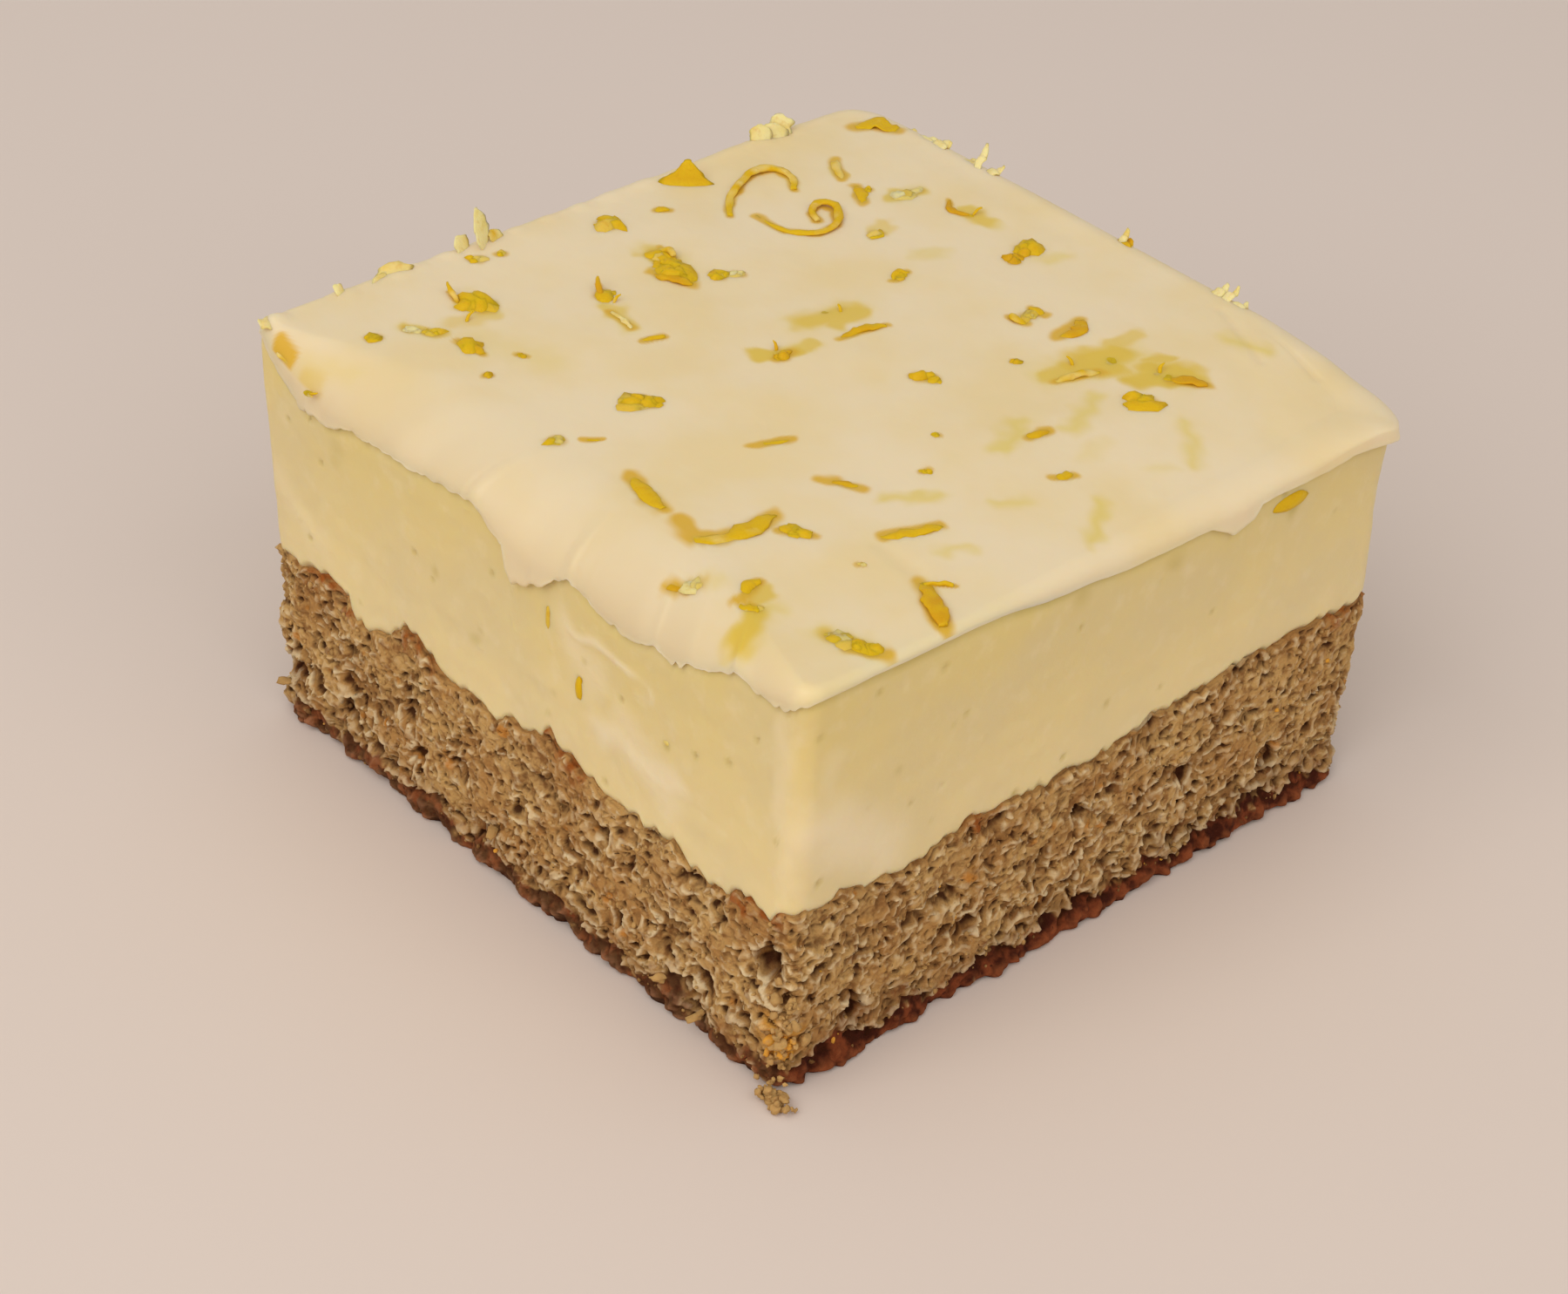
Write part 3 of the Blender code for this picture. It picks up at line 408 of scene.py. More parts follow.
class CheesecakeColours(bpy.types.PropertyGroup):
    """Colours of the baked, set and grated parts, and of the floor."""

    crumb_pale: tint("Pale crumb", "Raised crumb of the sponge", "#c39b60")
    # Painted shade: the colour of the crumb in the shadow of its pores
    crumb_pore_shade: tint("Deep crumb", "Crumb inside the pores", "#5a2e10")
    base_brown: tint("Browned base", "Baked base of the sponge", "#3f1709")
    toast: tint("Toasted skin", "Blistered skin of the sponge", "#96521f")
    carrot: tint("Carrot", "Grated carrot in the crumb", "#c8802c")
    golden: tint("Golden crumb", "Buttery crumb at the broken corner", "#dc9c3c")
    filling: tint("Filling", "Set lemon cheesecake", "#dfc882")
    # Painted light: the paler filling low down stands for light bounced from the floor
    filling_bounce_lit: tint("Lower filling", "Paler filling near the sponge", "#ebd59e")
    filling_pale: tint("Smeared filling", "Whiter smears on the cut face", "#eedcb4")
    # Real stains round zest, and the painted shadow under the cream's hem
    filling_stain_and_shade: tint("Zest stain", "Greenish stain round zest in the filling", "#c4ad5e")
    cream: tint("Cream", "Spread cream", "#ecd9b4")
    # Painted shade for the cream's slope down to the torn hem, which faces the light
    cream_slope_shade: tint("Thin cream", "Damp cream that thins out to its torn hem", "#dfcaa2")
    cream_stain: tint("Stained cream", "Cream over sunken zest", "#e3cb77")
    cream_tatter: tint("Tatters", "Translucent tatters of zest flush with the cream", "#dfbe4a")
    cream_gold: tint("Cream at the zest", "Cream that took the colour of the zest beside it", "#dcae28")
    zest_gold: tint("Gold zest", "Yellow face of the zest", "#dcb212")
    zest_orange: tint("Orange zest", "Drier and deeper zest", "#cf9510")
    zest_pale: tint("Pale zest", "Pith and thin tatters of zest", "#f0dfa0")
    floor: tint("Floor", "Plain pale floor", "#e0d1c7")


def cell_value(cell, salt):
    """A fixed random number from 0 to 1 for each whole-number cell of space."""
    key = (cell * np.array([73856093, 19349663, 83492791])).sum(axis=-1) + salt * 1013904223
    for factor in (1274126177, 1103515245):
        key = ((key ^ (key >> 15)) & 0xFFFFFFFF) * factor & 0xFFFFFFFF
    return ((key >> 7) & 0xFFFFFF) / 0xFFFFFF


def noise(points, size, salt):
    """Smooth noise from -1 to 1 with features about `size` wide: cell corners' values, blended."""
    place = points / size
    base = np.floor(place).astype(np.int64)
    share = place - base
    share = share * share * (3 - 2 * share)
    total = np.zeros(points.shape[:-1])
    for corner in np.ndindex(2, 2, 2):
        weight = np.where(np.array(corner, bool), share, 1 - share).prod(axis=-1)
        total += weight * cell_value(base + np.array(corner), salt)
    return 2 * total - 1


def fractal(points, size, salt, octaves=3):
    """Noise summed over octaves, each half the size and half the height of the one before."""
    total = sum(noise(points, size / 2 ** level, salt + level) / 2 ** level for level in range(octaves))
    return total / (2 - 2 ** (1 - octaves))


def warped(points, size, salt, reach):
    """The points moved by up to `reach` along each axis, by three separate noises."""
    return points + reach * np.stack([noise(points, size, salt + axis) for axis in range(3)], axis=-1)


def cells(points, size, salt):
    """Distance to the nearest cell centre as a share of `size`, and that cell's own random number."""
    place = points / size
    base = np.floor(place).astype(np.int64)
    nearest = np.full(points.shape[:-1], 9.0)
    own = np.zeros(points.shape[:-1])
    for step in np.ndindex(3, 3, 3):
        cell = base + np.array(step) - 1
        centre = cell + np.stack([cell_value(cell, salt + axis) for axis in range(3)], axis=-1)
        away = np.linalg.norm(place - centre, axis=-1)
        own = np.where(away < nearest, cell_value(cell, salt + 3), own)
        nearest = np.minimum(nearest, away)
    return nearest, own


def smooth_step(share):
    """0 below 0, 1 above 1, and a smooth rise between."""
    share = np.clip(share, 0.0, 1.0)
    return share * share * (3 - 2 * share)


def flat_points(x, y):
    """Points at height 0 for a noise that depends on the plan alone."""
    return np.stack([x, y, np.zeros(np.shape(x))], axis=-1)


def from_stroke(points, start, end):
    """Distance of each point from the straight stroke between two ends."""
    first, span = np.array(start), np.array(end) - np.array(start)
    share = np.clip(((points - first) @ span) / (span @ span), 0.0, 1.0)
    return np.linalg.norm(points - first - share[..., None] * span, axis=-1)


def heading_axes(heading):
    """The directions ahead and to the left for a heading in degrees, anticlockwise from +X."""
    ahead = np.array([math.cos(math.radians(heading)), math.sin(math.radians(heading))])
    return ahead, np.array([-ahead[1], ahead[0]])


def wall(shares, heights, inset=0.0, rounder=0.0):
    """Places on the cake's outline and the outward directions there.

    Shares run from 0 to 4 anticlockwise, and each whole number is the middle of a rounded corner:
    half an arc, a straight run and half an arc make one side. The outline changes evenly with
    height from the foot to the top edge, and is moved inwards by the inset. Each corner has its own
    radius, to which the cream's own is added in the share `rounder`.
    """
    level = np.clip(heights / TOP_LEVEL, 0.0, 1.0)[..., None]
    low_x, high_x, low_y, high_y = np.moveaxis(FOOT + (HEAD - FOOT) * level, -1, 0)
    side = np.floor(shares).astype(int) % 4
    radii = CORNERS + np.asarray(rounder)[..., None] * CREAM_CORNERS
    radii = np.broadcast_to(radii, (*shares.shape, 4))
    radii = np.maximum(radii - np.asarray(inset)[..., None], SMALLEST_RADIUS)
    first, last = (np.take_along_axis(radii, corner[..., None], -1)[..., 0]
                   for corner in (side, (side + 1) % 4))
    turn = side * math.pi / 2
    ahead = np.stack([np.cos(turn), np.sin(turn)], axis=-1)
    out = np.stack([ahead[..., 1], -ahead[..., 0]], axis=-1)
    along_x = side % 2 == 0
    width, depth = high_x - low_x - 2 * inset, high_y - low_y - 2 * inset
    length, reach = np.where(along_x, width, depth), np.where(along_x, depth, width) / 2
    run = length - first - last
    along = (shares - np.floor(shares)) * (run + (first + last) * math.pi / 4) - first * math.pi / 4
    swing = np.minimum(along, 0.0) / first + np.maximum(along - run, 0.0) / last
    radius = np.where(along < 0, first, last)
    straight = np.clip(along, 0.0, run) + first - length / 2
    normals = out * np.cos(swing)[..., None] + ahead * np.sin(swing)[..., None]
    centre = np.stack([(low_x + high_x) / 2, (low_y + high_y) / 2], axis=-1)
    places = centre + out * (reach - radius)[..., None] + ahead * straight[..., None]
    return places + normals * radius[..., None], normals


def along_faces(tables, places, normals):
    """Reads each face's table at these places, blended round the corners by the way they face."""
    facing = (
        ("-X", normals[..., 0] < 0, 1), ("+X", normals[..., 0] > 0, 1),
        ("-Y", normals[..., 1] < 0, 0), ("+Y", normals[..., 1] > 0, 0),
    )
    total = np.zeros(places.shape[:-1])
    for name, faces, axis in facing:
        knots, values = zip(*tables[name])
        share = normals[..., 1 - axis] ** 2
        total += np.where(faces, share * np.interp(places[..., axis], knots, values), 0.0)
    return total


def cut_share(normals):
    """1 on the ragged cut face (-X), 0 on the others, blended round the corners."""
    return np.clip(-normals[..., 0], 0.0, 1.0) ** 2


def skin_heights(places, normals):
    """Height of the sponge's skin at the face: the face's table, made ragged by fine noise."""
    spot = flat_points(places[..., 0], places[..., 1])
    ragged = 0.3 * fractal(spot, 1.6, 301, 3) + 0.4 * noise(spot, 0.7, 305)
    return along_faces(SKIN, places, normals) + ragged


def top_heights(x, y):
    """Height of the cream's top: level, with a fall to -Y, a drooping corner, waves and fine ripples."""
    spot = flat_points(x, y)
    fall = np.maximum(1 - (y + HALF_SIDE) / FALL_REACH, 0.0) ** 2
    droop = np.maximum(1 - (HALF_SIDE - x) / DROOP_REACH, 0.0) ** 2
    droop = droop * np.maximum(1 - (y + HALF_SIDE) / DROOP_REACH, 0.0)
    height = CREAM_LEVEL - TOP_FALL * (1 + x / HALF_SIDE) * fall - CORNER_DROOP * droop
    height += TOP_WAVE * noise(spot, 13.0, 11) + 0.07 * noise(spot, 5.0, 311)
    # Peaks that the knife pulled up along the far rim
    rim = smooth_step((y - HEAD[3] + 3.0) / 2.4)
    for size, salt, tall in ((3.6, 315, 0.4), (1.8, 317, 0.2)):
        height += rim * tall * np.maximum(noise(spot, size, salt), 0.0)
    return height + 0.022 * fractal(spot, 1.6, 321, 2)


def hem_depths(places, normals):
    """Depth of the hem below the top: the face's table, torn by noise most on the ragged cut face."""
    spot = flat_points(places[..., 0], places[..., 1])
    torn = cut_share(normals)
    depth = along_faces(HEM, places, normals)
    depth += (0.08 + 0.3 * torn) * fractal(spot, 2.1, 331, 3)
    depth += torn * (0.5 * np.abs(noise(spot, 1.0, 341)) + 0.22 * noise(spot, 0.5, 345) - 0.2)
    return np.maximum(depth, 0.6)


def edge_rounds(places, normals, softness):
    """Height and width of the cream's rounded top edge along each face; the hem limits its height."""
    radius = softness * along_faces(EDGE, places, normals)
    tall = np.clip(radius, 0.3, np.maximum(along_faces(HEM, places, normals) - 0.2, 0.3))
    # Averaged along the rim, so that a step in the hem makes no crease in the slope above it
    tall = sum(np.roll(tall, step) for step in range(-14, 15)) / 29
    return tall, radius * along_faces(WIDER, places, normals)


def surface_under(x, y, softness):
    """Height of the cream under a bit of zest: the top, less the rounding near an edge.

    Near the edge the fall is that of a quarter ellipse as tall and as wide as the rounding there.
    """
    drop = np.zeros(np.shape(x))
    for name, gap, along in (("-X", x - HEAD[0], y), ("+X", HEAD[1] - x, y), ("-Y", y - HEAD[2], x),
                             ("+Y", HEAD[3] - y, x)):
        radius = softness * np.interp(along, *zip(*EDGE[name]))
        tall = np.minimum(radius, np.interp(along, *zip(*HEM[name])) - 0.2)
        wide = radius * np.interp(along, *zip(*WIDER[name]))
        short = np.clip(1 - gap / wide, 0.0, 0.97)
        drop = np.maximum(drop, tall * (1 - np.sqrt(1 - short ** 2)))
    return top_heights(x, y) - drop


def settled(x, y, softness):
    """Places on the cream's surface that the photograph shows where it shows the places read.

    Each place, read on the reading plane, slides along its line of sight to the real surface: as it
    rises by a step, it moves to the camera by the step's share of the camera's height above it.
    """
    read_x, read_y = np.asarray(x, float), np.asarray(y, float)
    plane = READ_LEVEL - READ_FALL * read_x / HALF_SIDE
    x, y = read_x, read_y
    for _ in range(4):
        share = (surface_under(x, y, softness) - plane) / (VIEW_PLACE[2] - plane)
        x = read_x + share * (VIEW_PLACE[0] - read_x)
        y = read_y + share * (VIEW_PLACE[1] - read_y)
    return x, y


def crumb_relief(points, strength):
    """How far the cut crumb stands in, in mm: large pores, torn plates, single holes, lumps and grains.

    A plate ends where layered noise in bent space passes a level: the step there is steep, and the
    pore sinks on with the noise. A large pore is a steep-walled bowl in a cell of the same space.
    """
    stretched = points * np.array([1.0, 1.0, 1.35])
    bent = warped(warped(stretched, 2.6, 351, 0.8), 0.9, 355, 0.3)
    relief = LUMP_DEPTH * noise(points, LUMP_SIZE, 31)
    nearest, own = cells(bent, PORE_SIZE, PORE_SALT)
    pore = smooth_step(2.6 * (1 - nearest / (PORE_REACH * (0.65 + 0.35 * own / PORE_SHARE))))
    relief += strength * PORE_DEPTH * pore * (own < PORE_SHARE)
    for size, level, depth, salt in TORN:
        over = fractal(bent, size, salt, 3) - level
        relief += strength * depth * (0.5 * smooth_step(over / 0.08) + 2.4 * np.clip(over, 0.0, 0.4))
    for size, reach, depth, share, salt in SMALL_PORES:
        nearest, own = cells(bent, size, salt)
        pore = smooth_step(2.0 * (1 - nearest / (reach * (0.6 + 0.6 * own))))
        relief += strength * depth * pore * (own < share)
    frayed = warped(points, 1.1, 381, 0.7)
    for x, y, z, radius, depth in HOLES:
        away = np.linalg.norm(frayed - np.array([x, y, z]), axis=-1) / radius
        relief += strength * 0.7 * depth * smooth_step(2.0 * (1 - away))
    # The lower crumb, nearer the heat, is torn the deepest
    relief *= np.clip(1.15 - 0.033 * points[..., 2], 0.66, 1.08)
    nearest, _ = cells(bent, GRAIN_SIZE, 391)
    relief -= GRAIN_HEIGHT * np.clip(1 - nearest / 0.72, 0.0, 1.0) ** 0.5
    away = np.linalg.norm(points - np.array(BREAK_AT), axis=-1) / BREAK_RADIUS
    return relief - BREAK_OUT * np.exp(-away ** 2) + 0.14 * noise(points, 0.5, 401) - 0.25


def sponge_surface(shares, levels, strength):
    """Points of the cut sponge, and how deep, browned and toasted it is there.

    A point is the outline at its height, moved out by the browned ledge and in by the crumb. What
    lies deeper also lies a little higher, so that plates overhang the pores beneath them. Levels run
    from 0 at the floor to 1 at the toasted skin.
    """
    foot, normals = wall(shares, np.full(shares.shape, SPONGE_LEVEL))
    skin = skin_heights(foot, normals)
    heights = levels * skin
    places, normals = wall(shares, heights)
    points = np.concatenate([places, heights[..., None]], axis=-1)
    clean = np.clip(-normals[..., 1], 0.0, 1.0) ** 2
    crags = fractal(points * np.array([1.0, 1.0, 1.3]), 2.6, 411, 4)
    crust_top = CRUST_LEVEL + CRUST_CRAGS * crags + CRUST_EDGE * noise(points, 0.8, 417) - 0.1 * clean
    browned = smooth_step((crust_top - heights) / (1.1 - 0.5 * clean))
    # Above the crust the crumb is still a little browned
    tinged = (0.28 + 0.14 * clean) * smooth_step((crust_top + TINGE_REACH - heights) / 3.8)
    inner = smooth_step((skin - heights) / 0.28)
    relief = crumb_relief(points, strength) * (1 - 0.65 * browned) * smooth_step(0.4 + levels * 9) * inner
    reach = LEDGE_ON_CUT_FACE + (LEDGE_ON_CLEAN_FACE - LEDGE_ON_CUT_FACE) * clean
    low = 1 - smooth_step((heights - LEDGE_HEIGHT * 0.4) / LEDGE_HEIGHT)
    nearest, _ = cells(warped(points, 1.5, 415, 0.7), 1.7, 413)
    relief -= low * (reach + 0.7 * crags + 0.9 * (0.5 - nearest))
    # The crumb's last plates overhang the crust, which comes out again at the floor
    relief += browned * ((0.1 + 0.3 * clean) * smooth_step(heights / 1.6) + 0.3 * noise(points, 0.9, 419))
    relief += 0.5 * (1 - np.clip(heights / 0.5, 0.0, 1.0)) ** 2
    tooth = np.maximum(fractal(points * np.array([1.0, 1.0, 0.0]), 2.4, 421, 3), 0.0)
    lift = TOOTH_LIFT * tooth * np.clip(1 - heights / TOOTH_REACH, 0.0, 1.0) ** 2
    heights = heights + lift * (levels > 0)
    heights = heights + UNDERCUT * np.clip(relief, 0.0, 1.6) * smooth_step(heights / 2.0) * inner
    places = places - normals * relief[..., None]
    points = np.concatenate([places, heights[..., None]], axis=-1)
    points = points + 0.2 * (warped(points, 0.6, 441, 1.0) - points) * smooth_step(levels * 9)[..., None]

    toasted = np.zeros(shares.shape)
    for x, y, span in TOASTED:
        away = np.hypot(places[..., 0] - x, places[..., 1] - y) / span
        toasted = np.maximum(toasted, np.exp(-away ** 2))
    below = (skin - heights) + 1.3 * noise(points, 1.0, 451)
    toasted = np.clip(toasted * (1.2 + 1.3 * noise(points, 0.7, 455)), 0, 1) * (1 - smooth_step(below / 2.2))
    away = np.linalg.norm((points - np.array(BREAK_AT) + np.array([0.0, 0.0, 1.4])) / 2.2, axis=-1)
    browned = np.maximum(browned * (0.88 + 0.12 * clean), tinged)
    golden = 1.4 * np.exp(-away ** 2) + 0.5 * noise(points, 0.9, 461) - 0.3
    # The depth mask is painted shade: darker in the deeper pores, and a little darker over the whole clean
    # face (-Y), which faces away from the light
    return points, {
        "depth": np.clip(0.08 + relief / 1.1 + 0.15 * clean, 0.0, 1.0), "browned": browned,
        "toasted": toasted, "golden": np.clip(golden, 0, 1), "relief": relief,
    }


def hollows(relief, reach):
    """How much deeper each point of a grid lies than the points round it, by a box average."""
    total = np.zeros(relief.shape)
    for down in range(-reach, reach + 1):
        rows = np.clip(np.arange(relief.shape[0]) + down, 0, relief.shape[0] - 1)
        for along in range(-reach, reach + 1):
            total += np.roll(relief[rows], along, axis=1)
    return relief - total / (2 * reach + 1) ** 2


def quads_of(index):
    """The four-sided faces between neighbouring rows of point numbers, which face outwards."""
    following = np.roll(index, -1, axis=1)
    corners = np.stack([index[:-1], following[:-1], following[1:], index[1:]], axis=-1)
    return corners.reshape(-1, 4)


def fan_of(ring, centre, upwards):
    """Three-sided faces from a ring of point numbers to one in its middle."""
    following = np.roll(ring, -1)
    middle = np.full(ring.shape, centre)
    order = (middle, ring, following) if upwards else (middle, following, ring)
    return np.stack(order, axis=-1)


def put_mesh(name, points, faces, attributes):
    """Makes a mesh object from points in mm, arrays of faces and one value a point for each name."""
    mesh = bpy.data.meshes.new(name)
    mesh.vertices.add(len(points))
    mesh.vertices.foreach_set("co", (points * MM).astype(np.float32).ravel())
    corners = np.concatenate([group.ravel() for group in faces])
    lengths = np.concatenate([np.full(len(group), group.shape[1]) for group in faces])
    mesh.loops.add(len(corners))
    mesh.loops.foreach_set("vertex_index", corners.astype(np.int32))
    mesh.polygons.add(len(lengths))
    mesh.polygons.foreach_set("loop_start", (np.cumsum(lengths) - lengths).astype(np.int32))
    mesh.polygons.foreach_set("use_smooth", np.full(len(lengths), True))
    mesh.update(calc_edges=True)
    mesh.validate()
    for label, values in attributes.items():
        layer = mesh.attributes.new(label, "FLOAT", "POINT")
        layer.data.foreach_set("value", np.asarray(values, np.float32).ravel())
    made = bpy.data.objects.new(name, mesh)
    bpy.context.scene.collection.objects.link(made)
    return made


def finish_piece(piece, material, node):
    """Gives a piece its material, hangs it on the cake and hides the solid that it stands for."""
    piece.data.materials.append(material)
    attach(piece, "root")
    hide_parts(node)


def smooth_path(corners, steps):
    """Points of a smooth curve through all the corners: each span leans on its neighbours (Catmull-Rom)."""
    corners = np.asarray(corners, float)
    padded = np.concatenate([2 * corners[:1] - corners[1:2], corners, 2 * corners[-1:] - corners[-2:-1]])
    place = np.linspace(0.0, len(corners) - 1, steps)
    start = np.minimum(place.astype(int), len(corners) - 2)
    t = (place - start)[:, None]
    a, b, c, d = (padded[start + step] for step in range(4))
    cubic = (2 * a - 5 * b + 4 * c - d) * t ** 2 + (3 * b - a - 3 * c + d) * t ** 3
    return 0.5 * (2 * b + (c - a) * t + cubic)


def ribbons(strips, thickness, softness, salt, sunk=0.16, steps=26, around=10, slides=True):
    """Strips of zest: a flat ring carried along a path that lies in the skin of the cream.

    The two edges are ragged on their own. The width swells from both ends, and a taper moves its
    widest place towards the end, or below 0 towards the start. The strip dips in and out of the
    cream by noise, arches in its middle and rises towards its far end. Where it slides, its path is
    as read from the photograph, and is settled on the cream first.
    """
    count = len(strips)
    width, bow, arch, rise, tone, taper = (np.array([strip[column] for strip in strips], float)[:, None]
                                           for column in range(1, 7))
    along = np.linspace(0.0, 1.0, steps)[None, :]
    path = np.stack([smooth_path(strip[0], steps) for strip in strips])
    if slides:
        path = np.stack(settled(path[..., 0], path[..., 1], softness), axis=-1)
    chord = path[:, -1] - path[:, 0]
    chord = chord / np.linalg.norm(chord, axis=-1, keepdims=True)
    across = np.stack([-chord[:, 1], chord[:, 0]], -1)[:, None]
    path = path + (bow * 4 * along * (1 - along))[..., None] * across
    ahead = np.gradient(path, axis=1)
    ahead = ahead / np.maximum(np.linalg.norm(ahead, axis=-1, keepdims=True), 1e-6)
    spot = np.concatenate([path, (rise * along)[..., None]], axis=-1)
    swell = np.sin(math.pi * np.clip(along, 0.04, 0.96) ** (2 ** taper)) ** (0.26 + 0.5 * taper ** 2)
    ring = np.arange(around) / around * 2 * math.pi
    edges = [width / 2 * swell * (1 + 0.34 * noise(spot, 0.55, salt + edge)
                                  + 0.3 * noise(spot, 1.5, salt + edge + 2)) for edge in (0, 1)]
    half = np.where(np.cos(ring) > 0, edges[0][..., None], edges[1][..., None])
    tall = thickness / 2 * swell ** 0.6 * (1 + 0.35 * noise(spot, 0.9, salt + 4))
    across = half * np.cos(ring)
    place_x = path[..., 0][..., None] - ahead[..., 1][..., None] * across
    place_y = path[..., 1][..., None] + ahead[..., 0][..., None] * across
    ground = surface_under(path[..., 0], path[..., 1], softness) + 0.6 * arch * np.sin(math.pi * along)
    ground += rise * along + 0.1 * noise(spot, 1.3, salt + 5) - sunk
    curl = 0.35 * half * np.cos(ring) ** 2 * noise(spot, 2.5, salt + 6)[..., None]
    height = ground[..., None] + tall[..., None] * np.sin(ring) + curl
    points = np.stack([place_x, place_y, height], axis=-1)
    points += 0.07 * noise(points, 0.45, salt + 7)[..., None]
    tones = np.clip(tone[..., None] + 0.22 * noise(points, 0.8, salt + 8), 0.0, 1.0)
    index = np.arange(count * steps * around).reshape(count, steps, around)
    corners = np.stack([index[:, :-1], index[:, 1:], np.roll(index, -1, 2)[:, 1:],
                        np.roll(index, -1, 2)[:, :-1]], axis=-1).reshape(-1, 4)
    ends = np.concatenate([index[:, 0], index[:, -1, ::-1]])
    return points.reshape(-1, 3), [corners, ends], tones.ravel()


def lumps(centres, radii, headings, tones, salt, roughness, rows=7, columns=9):
    """Rough pebbles: spheres of rings between two poles, stretched, turned and pushed about by noise."""
    count = len(centres)
    polar = np.linspace(0.0, math.pi, rows + 2)[1:-1, None]
    turn = np.arange(columns)[None, :] / columns * 2 * math.pi
    rings = np.stack([np.sin(polar) * np.cos(turn), np.sin(polar) * np.sin(turn),
                      np.cos(polar) + 0 * turn], axis=-1).reshape(-1, 3)
    shape = np.concatenate([rings, [[0, 0, 1.0], [0, 0, -1.0]]])
    place = shape[None] + np.arange(count)[:, None, None] * 3.7
    ball = shape[None] * (1 + roughness * noise(place, 0.9, salt) + 0.5 * roughness
                          * noise(place, 0.45, salt + 1))[..., None]
    ball = ball * np.asarray(radii)[:, None, :]
    swing = np.radians(np.asarray(headings, float))[:, None]
    x = ball[..., 0] * np.cos(swing) - ball[..., 1] * np.sin(swing)
    y = ball[..., 0] * np.sin(swing) + ball[..., 1] * np.cos(swing)
    points = np.stack([x, y, ball[..., 2]], axis=-1) + np.asarray(centres)[:, None, :]
    size = len(shape)
    ring_index = np.arange(rows * columns).reshape(rows, columns)
    sides = quads_of(ring_index[::-1])
    top = fan_of(ring_index[0], size - 2, True)
    bottom = fan_of(ring_index[-1], size - 1, False)
    step = np.arange(count)[:, None, None] * size
    faces = [(group[None] + step).reshape(-1, group.shape[1]) for group in (sides, top, bottom)]
    spread = np.broadcast_to(np.asarray(tones, float)[:, None], (count, size))
    return points.reshape(-1, 3), faces, spread.ravel()


def joined(*parts):
    """Several sets of points, faces and tones as one."""
    points, faces, tones, start = [], [], [], 0
    for part_points, part_faces, part_tones in parts:
        points.append(part_points)
        faces += [group + start for group in part_faces]
        tones.append(part_tones)
        start += len(part_points)
    return np.concatenate(points), faces, np.concatenate(tones)


def add_node(tree, kind, values=None, **settings):
    """Adds a node, sets its settings, and sets or links its inputs by name or number."""
    made = tree.nodes.new("ShaderNode" + kind)
    for name, value in settings.items():
        setattr(made, name, value)
    for key, value in (values or {}).items():
        if isinstance(value, bpy.types.NodeSocket):
            tree.links.new(value, made.inputs[key])
        else:
            made.inputs[key].default_value = value
    return made


def new_material(name):
    """An empty node material, its shader and the object's own coordinates in metres."""
    material = bpy.data.materials.new(name)
    material.use_nodes = True
    tree = material.node_tree
    tree.nodes.clear()
    shader = add_node(tree, "BsdfPrincipled")
    add_node(tree, "OutputMaterial", {"Surface": shader.outputs[0]})
    place = add_node(tree, "TexCoord").outputs["Object"]
    return material, tree, shader, place


def mixed(tree, share, first, second):
    """The colour between two colours, each a socket or a plain colour."""
    pair = [colour if isinstance(colour, bpy.types.NodeSocket) else (*colour, 1.0)
            for colour in (first, second)]
    return add_node(tree, "Mix", {0: share, 6: pair[0], 7: pair[1]}, data_type="RGBA").outputs[2]


def mottle(tree, place, size_mm, low, high, detail=3.0):
    """A patchy 0 to 1 mask with patches of a real size, from a noise between two levels."""
    pattern = add_node(tree, "TexNoise", {"Vector": place, "Scale": 1 / (size_mm * MM), "Detail": detail})
    spread = {0: pattern.outputs["Fac"], 1: low, 2: high}
    return add_node(tree, "MapRange", spread, interpolation_type="SMOOTHSTEP").outputs[0]


def product(tree, first, second):
    """Two masks multiplied."""
    return add_node(tree, "Math", {0: first, 1: second}, operation="MULTIPLY").outputs[0]


def mask_of(tree, name):
    """A mask that the mesh carries as one value at each point."""
    return add_node(tree, "Attribute", attribute_name=name).outputs["Fac"]


def set_shader(tree, shader, colour, roughness, specular, subsurface=None, bump=None, place=None):
    """Gives a shader its colour and gloss, how far light enters it and its finest relief.

    Subsurface is a weight, a radius for each colour and a depth in mm. Bump is the size of its grains
    in mm, their detail, strength and height in mm.
    """
    tree.links.new(colour, shader.inputs["Base Color"])
    shader.inputs["Roughness"].default_value = roughness
    shader.inputs["Specular IOR Level"].default_value = specular
    if subsurface:
        weight, radius, depth = subsurface
        shader.inputs["Subsurface Weight"].default_value = weight
        shader.inputs["Subsurface Radius"].default_value = radius
        shader.inputs["Subsurface Scale"].default_value = depth * MM
    if bump:
        size, detail, strength, height = bump
        grain = add_node(tree, "TexNoise", {"Vector": place, "Scale": 1 / (size * MM), "Detail": detail})
        raised = add_node(
            tree, "Bump", {"Height": grain.outputs["Fac"], "Strength": strength, "Distance": height * MM})
        tree.links.new(raised.outputs[0], shader.inputs["Normal"])


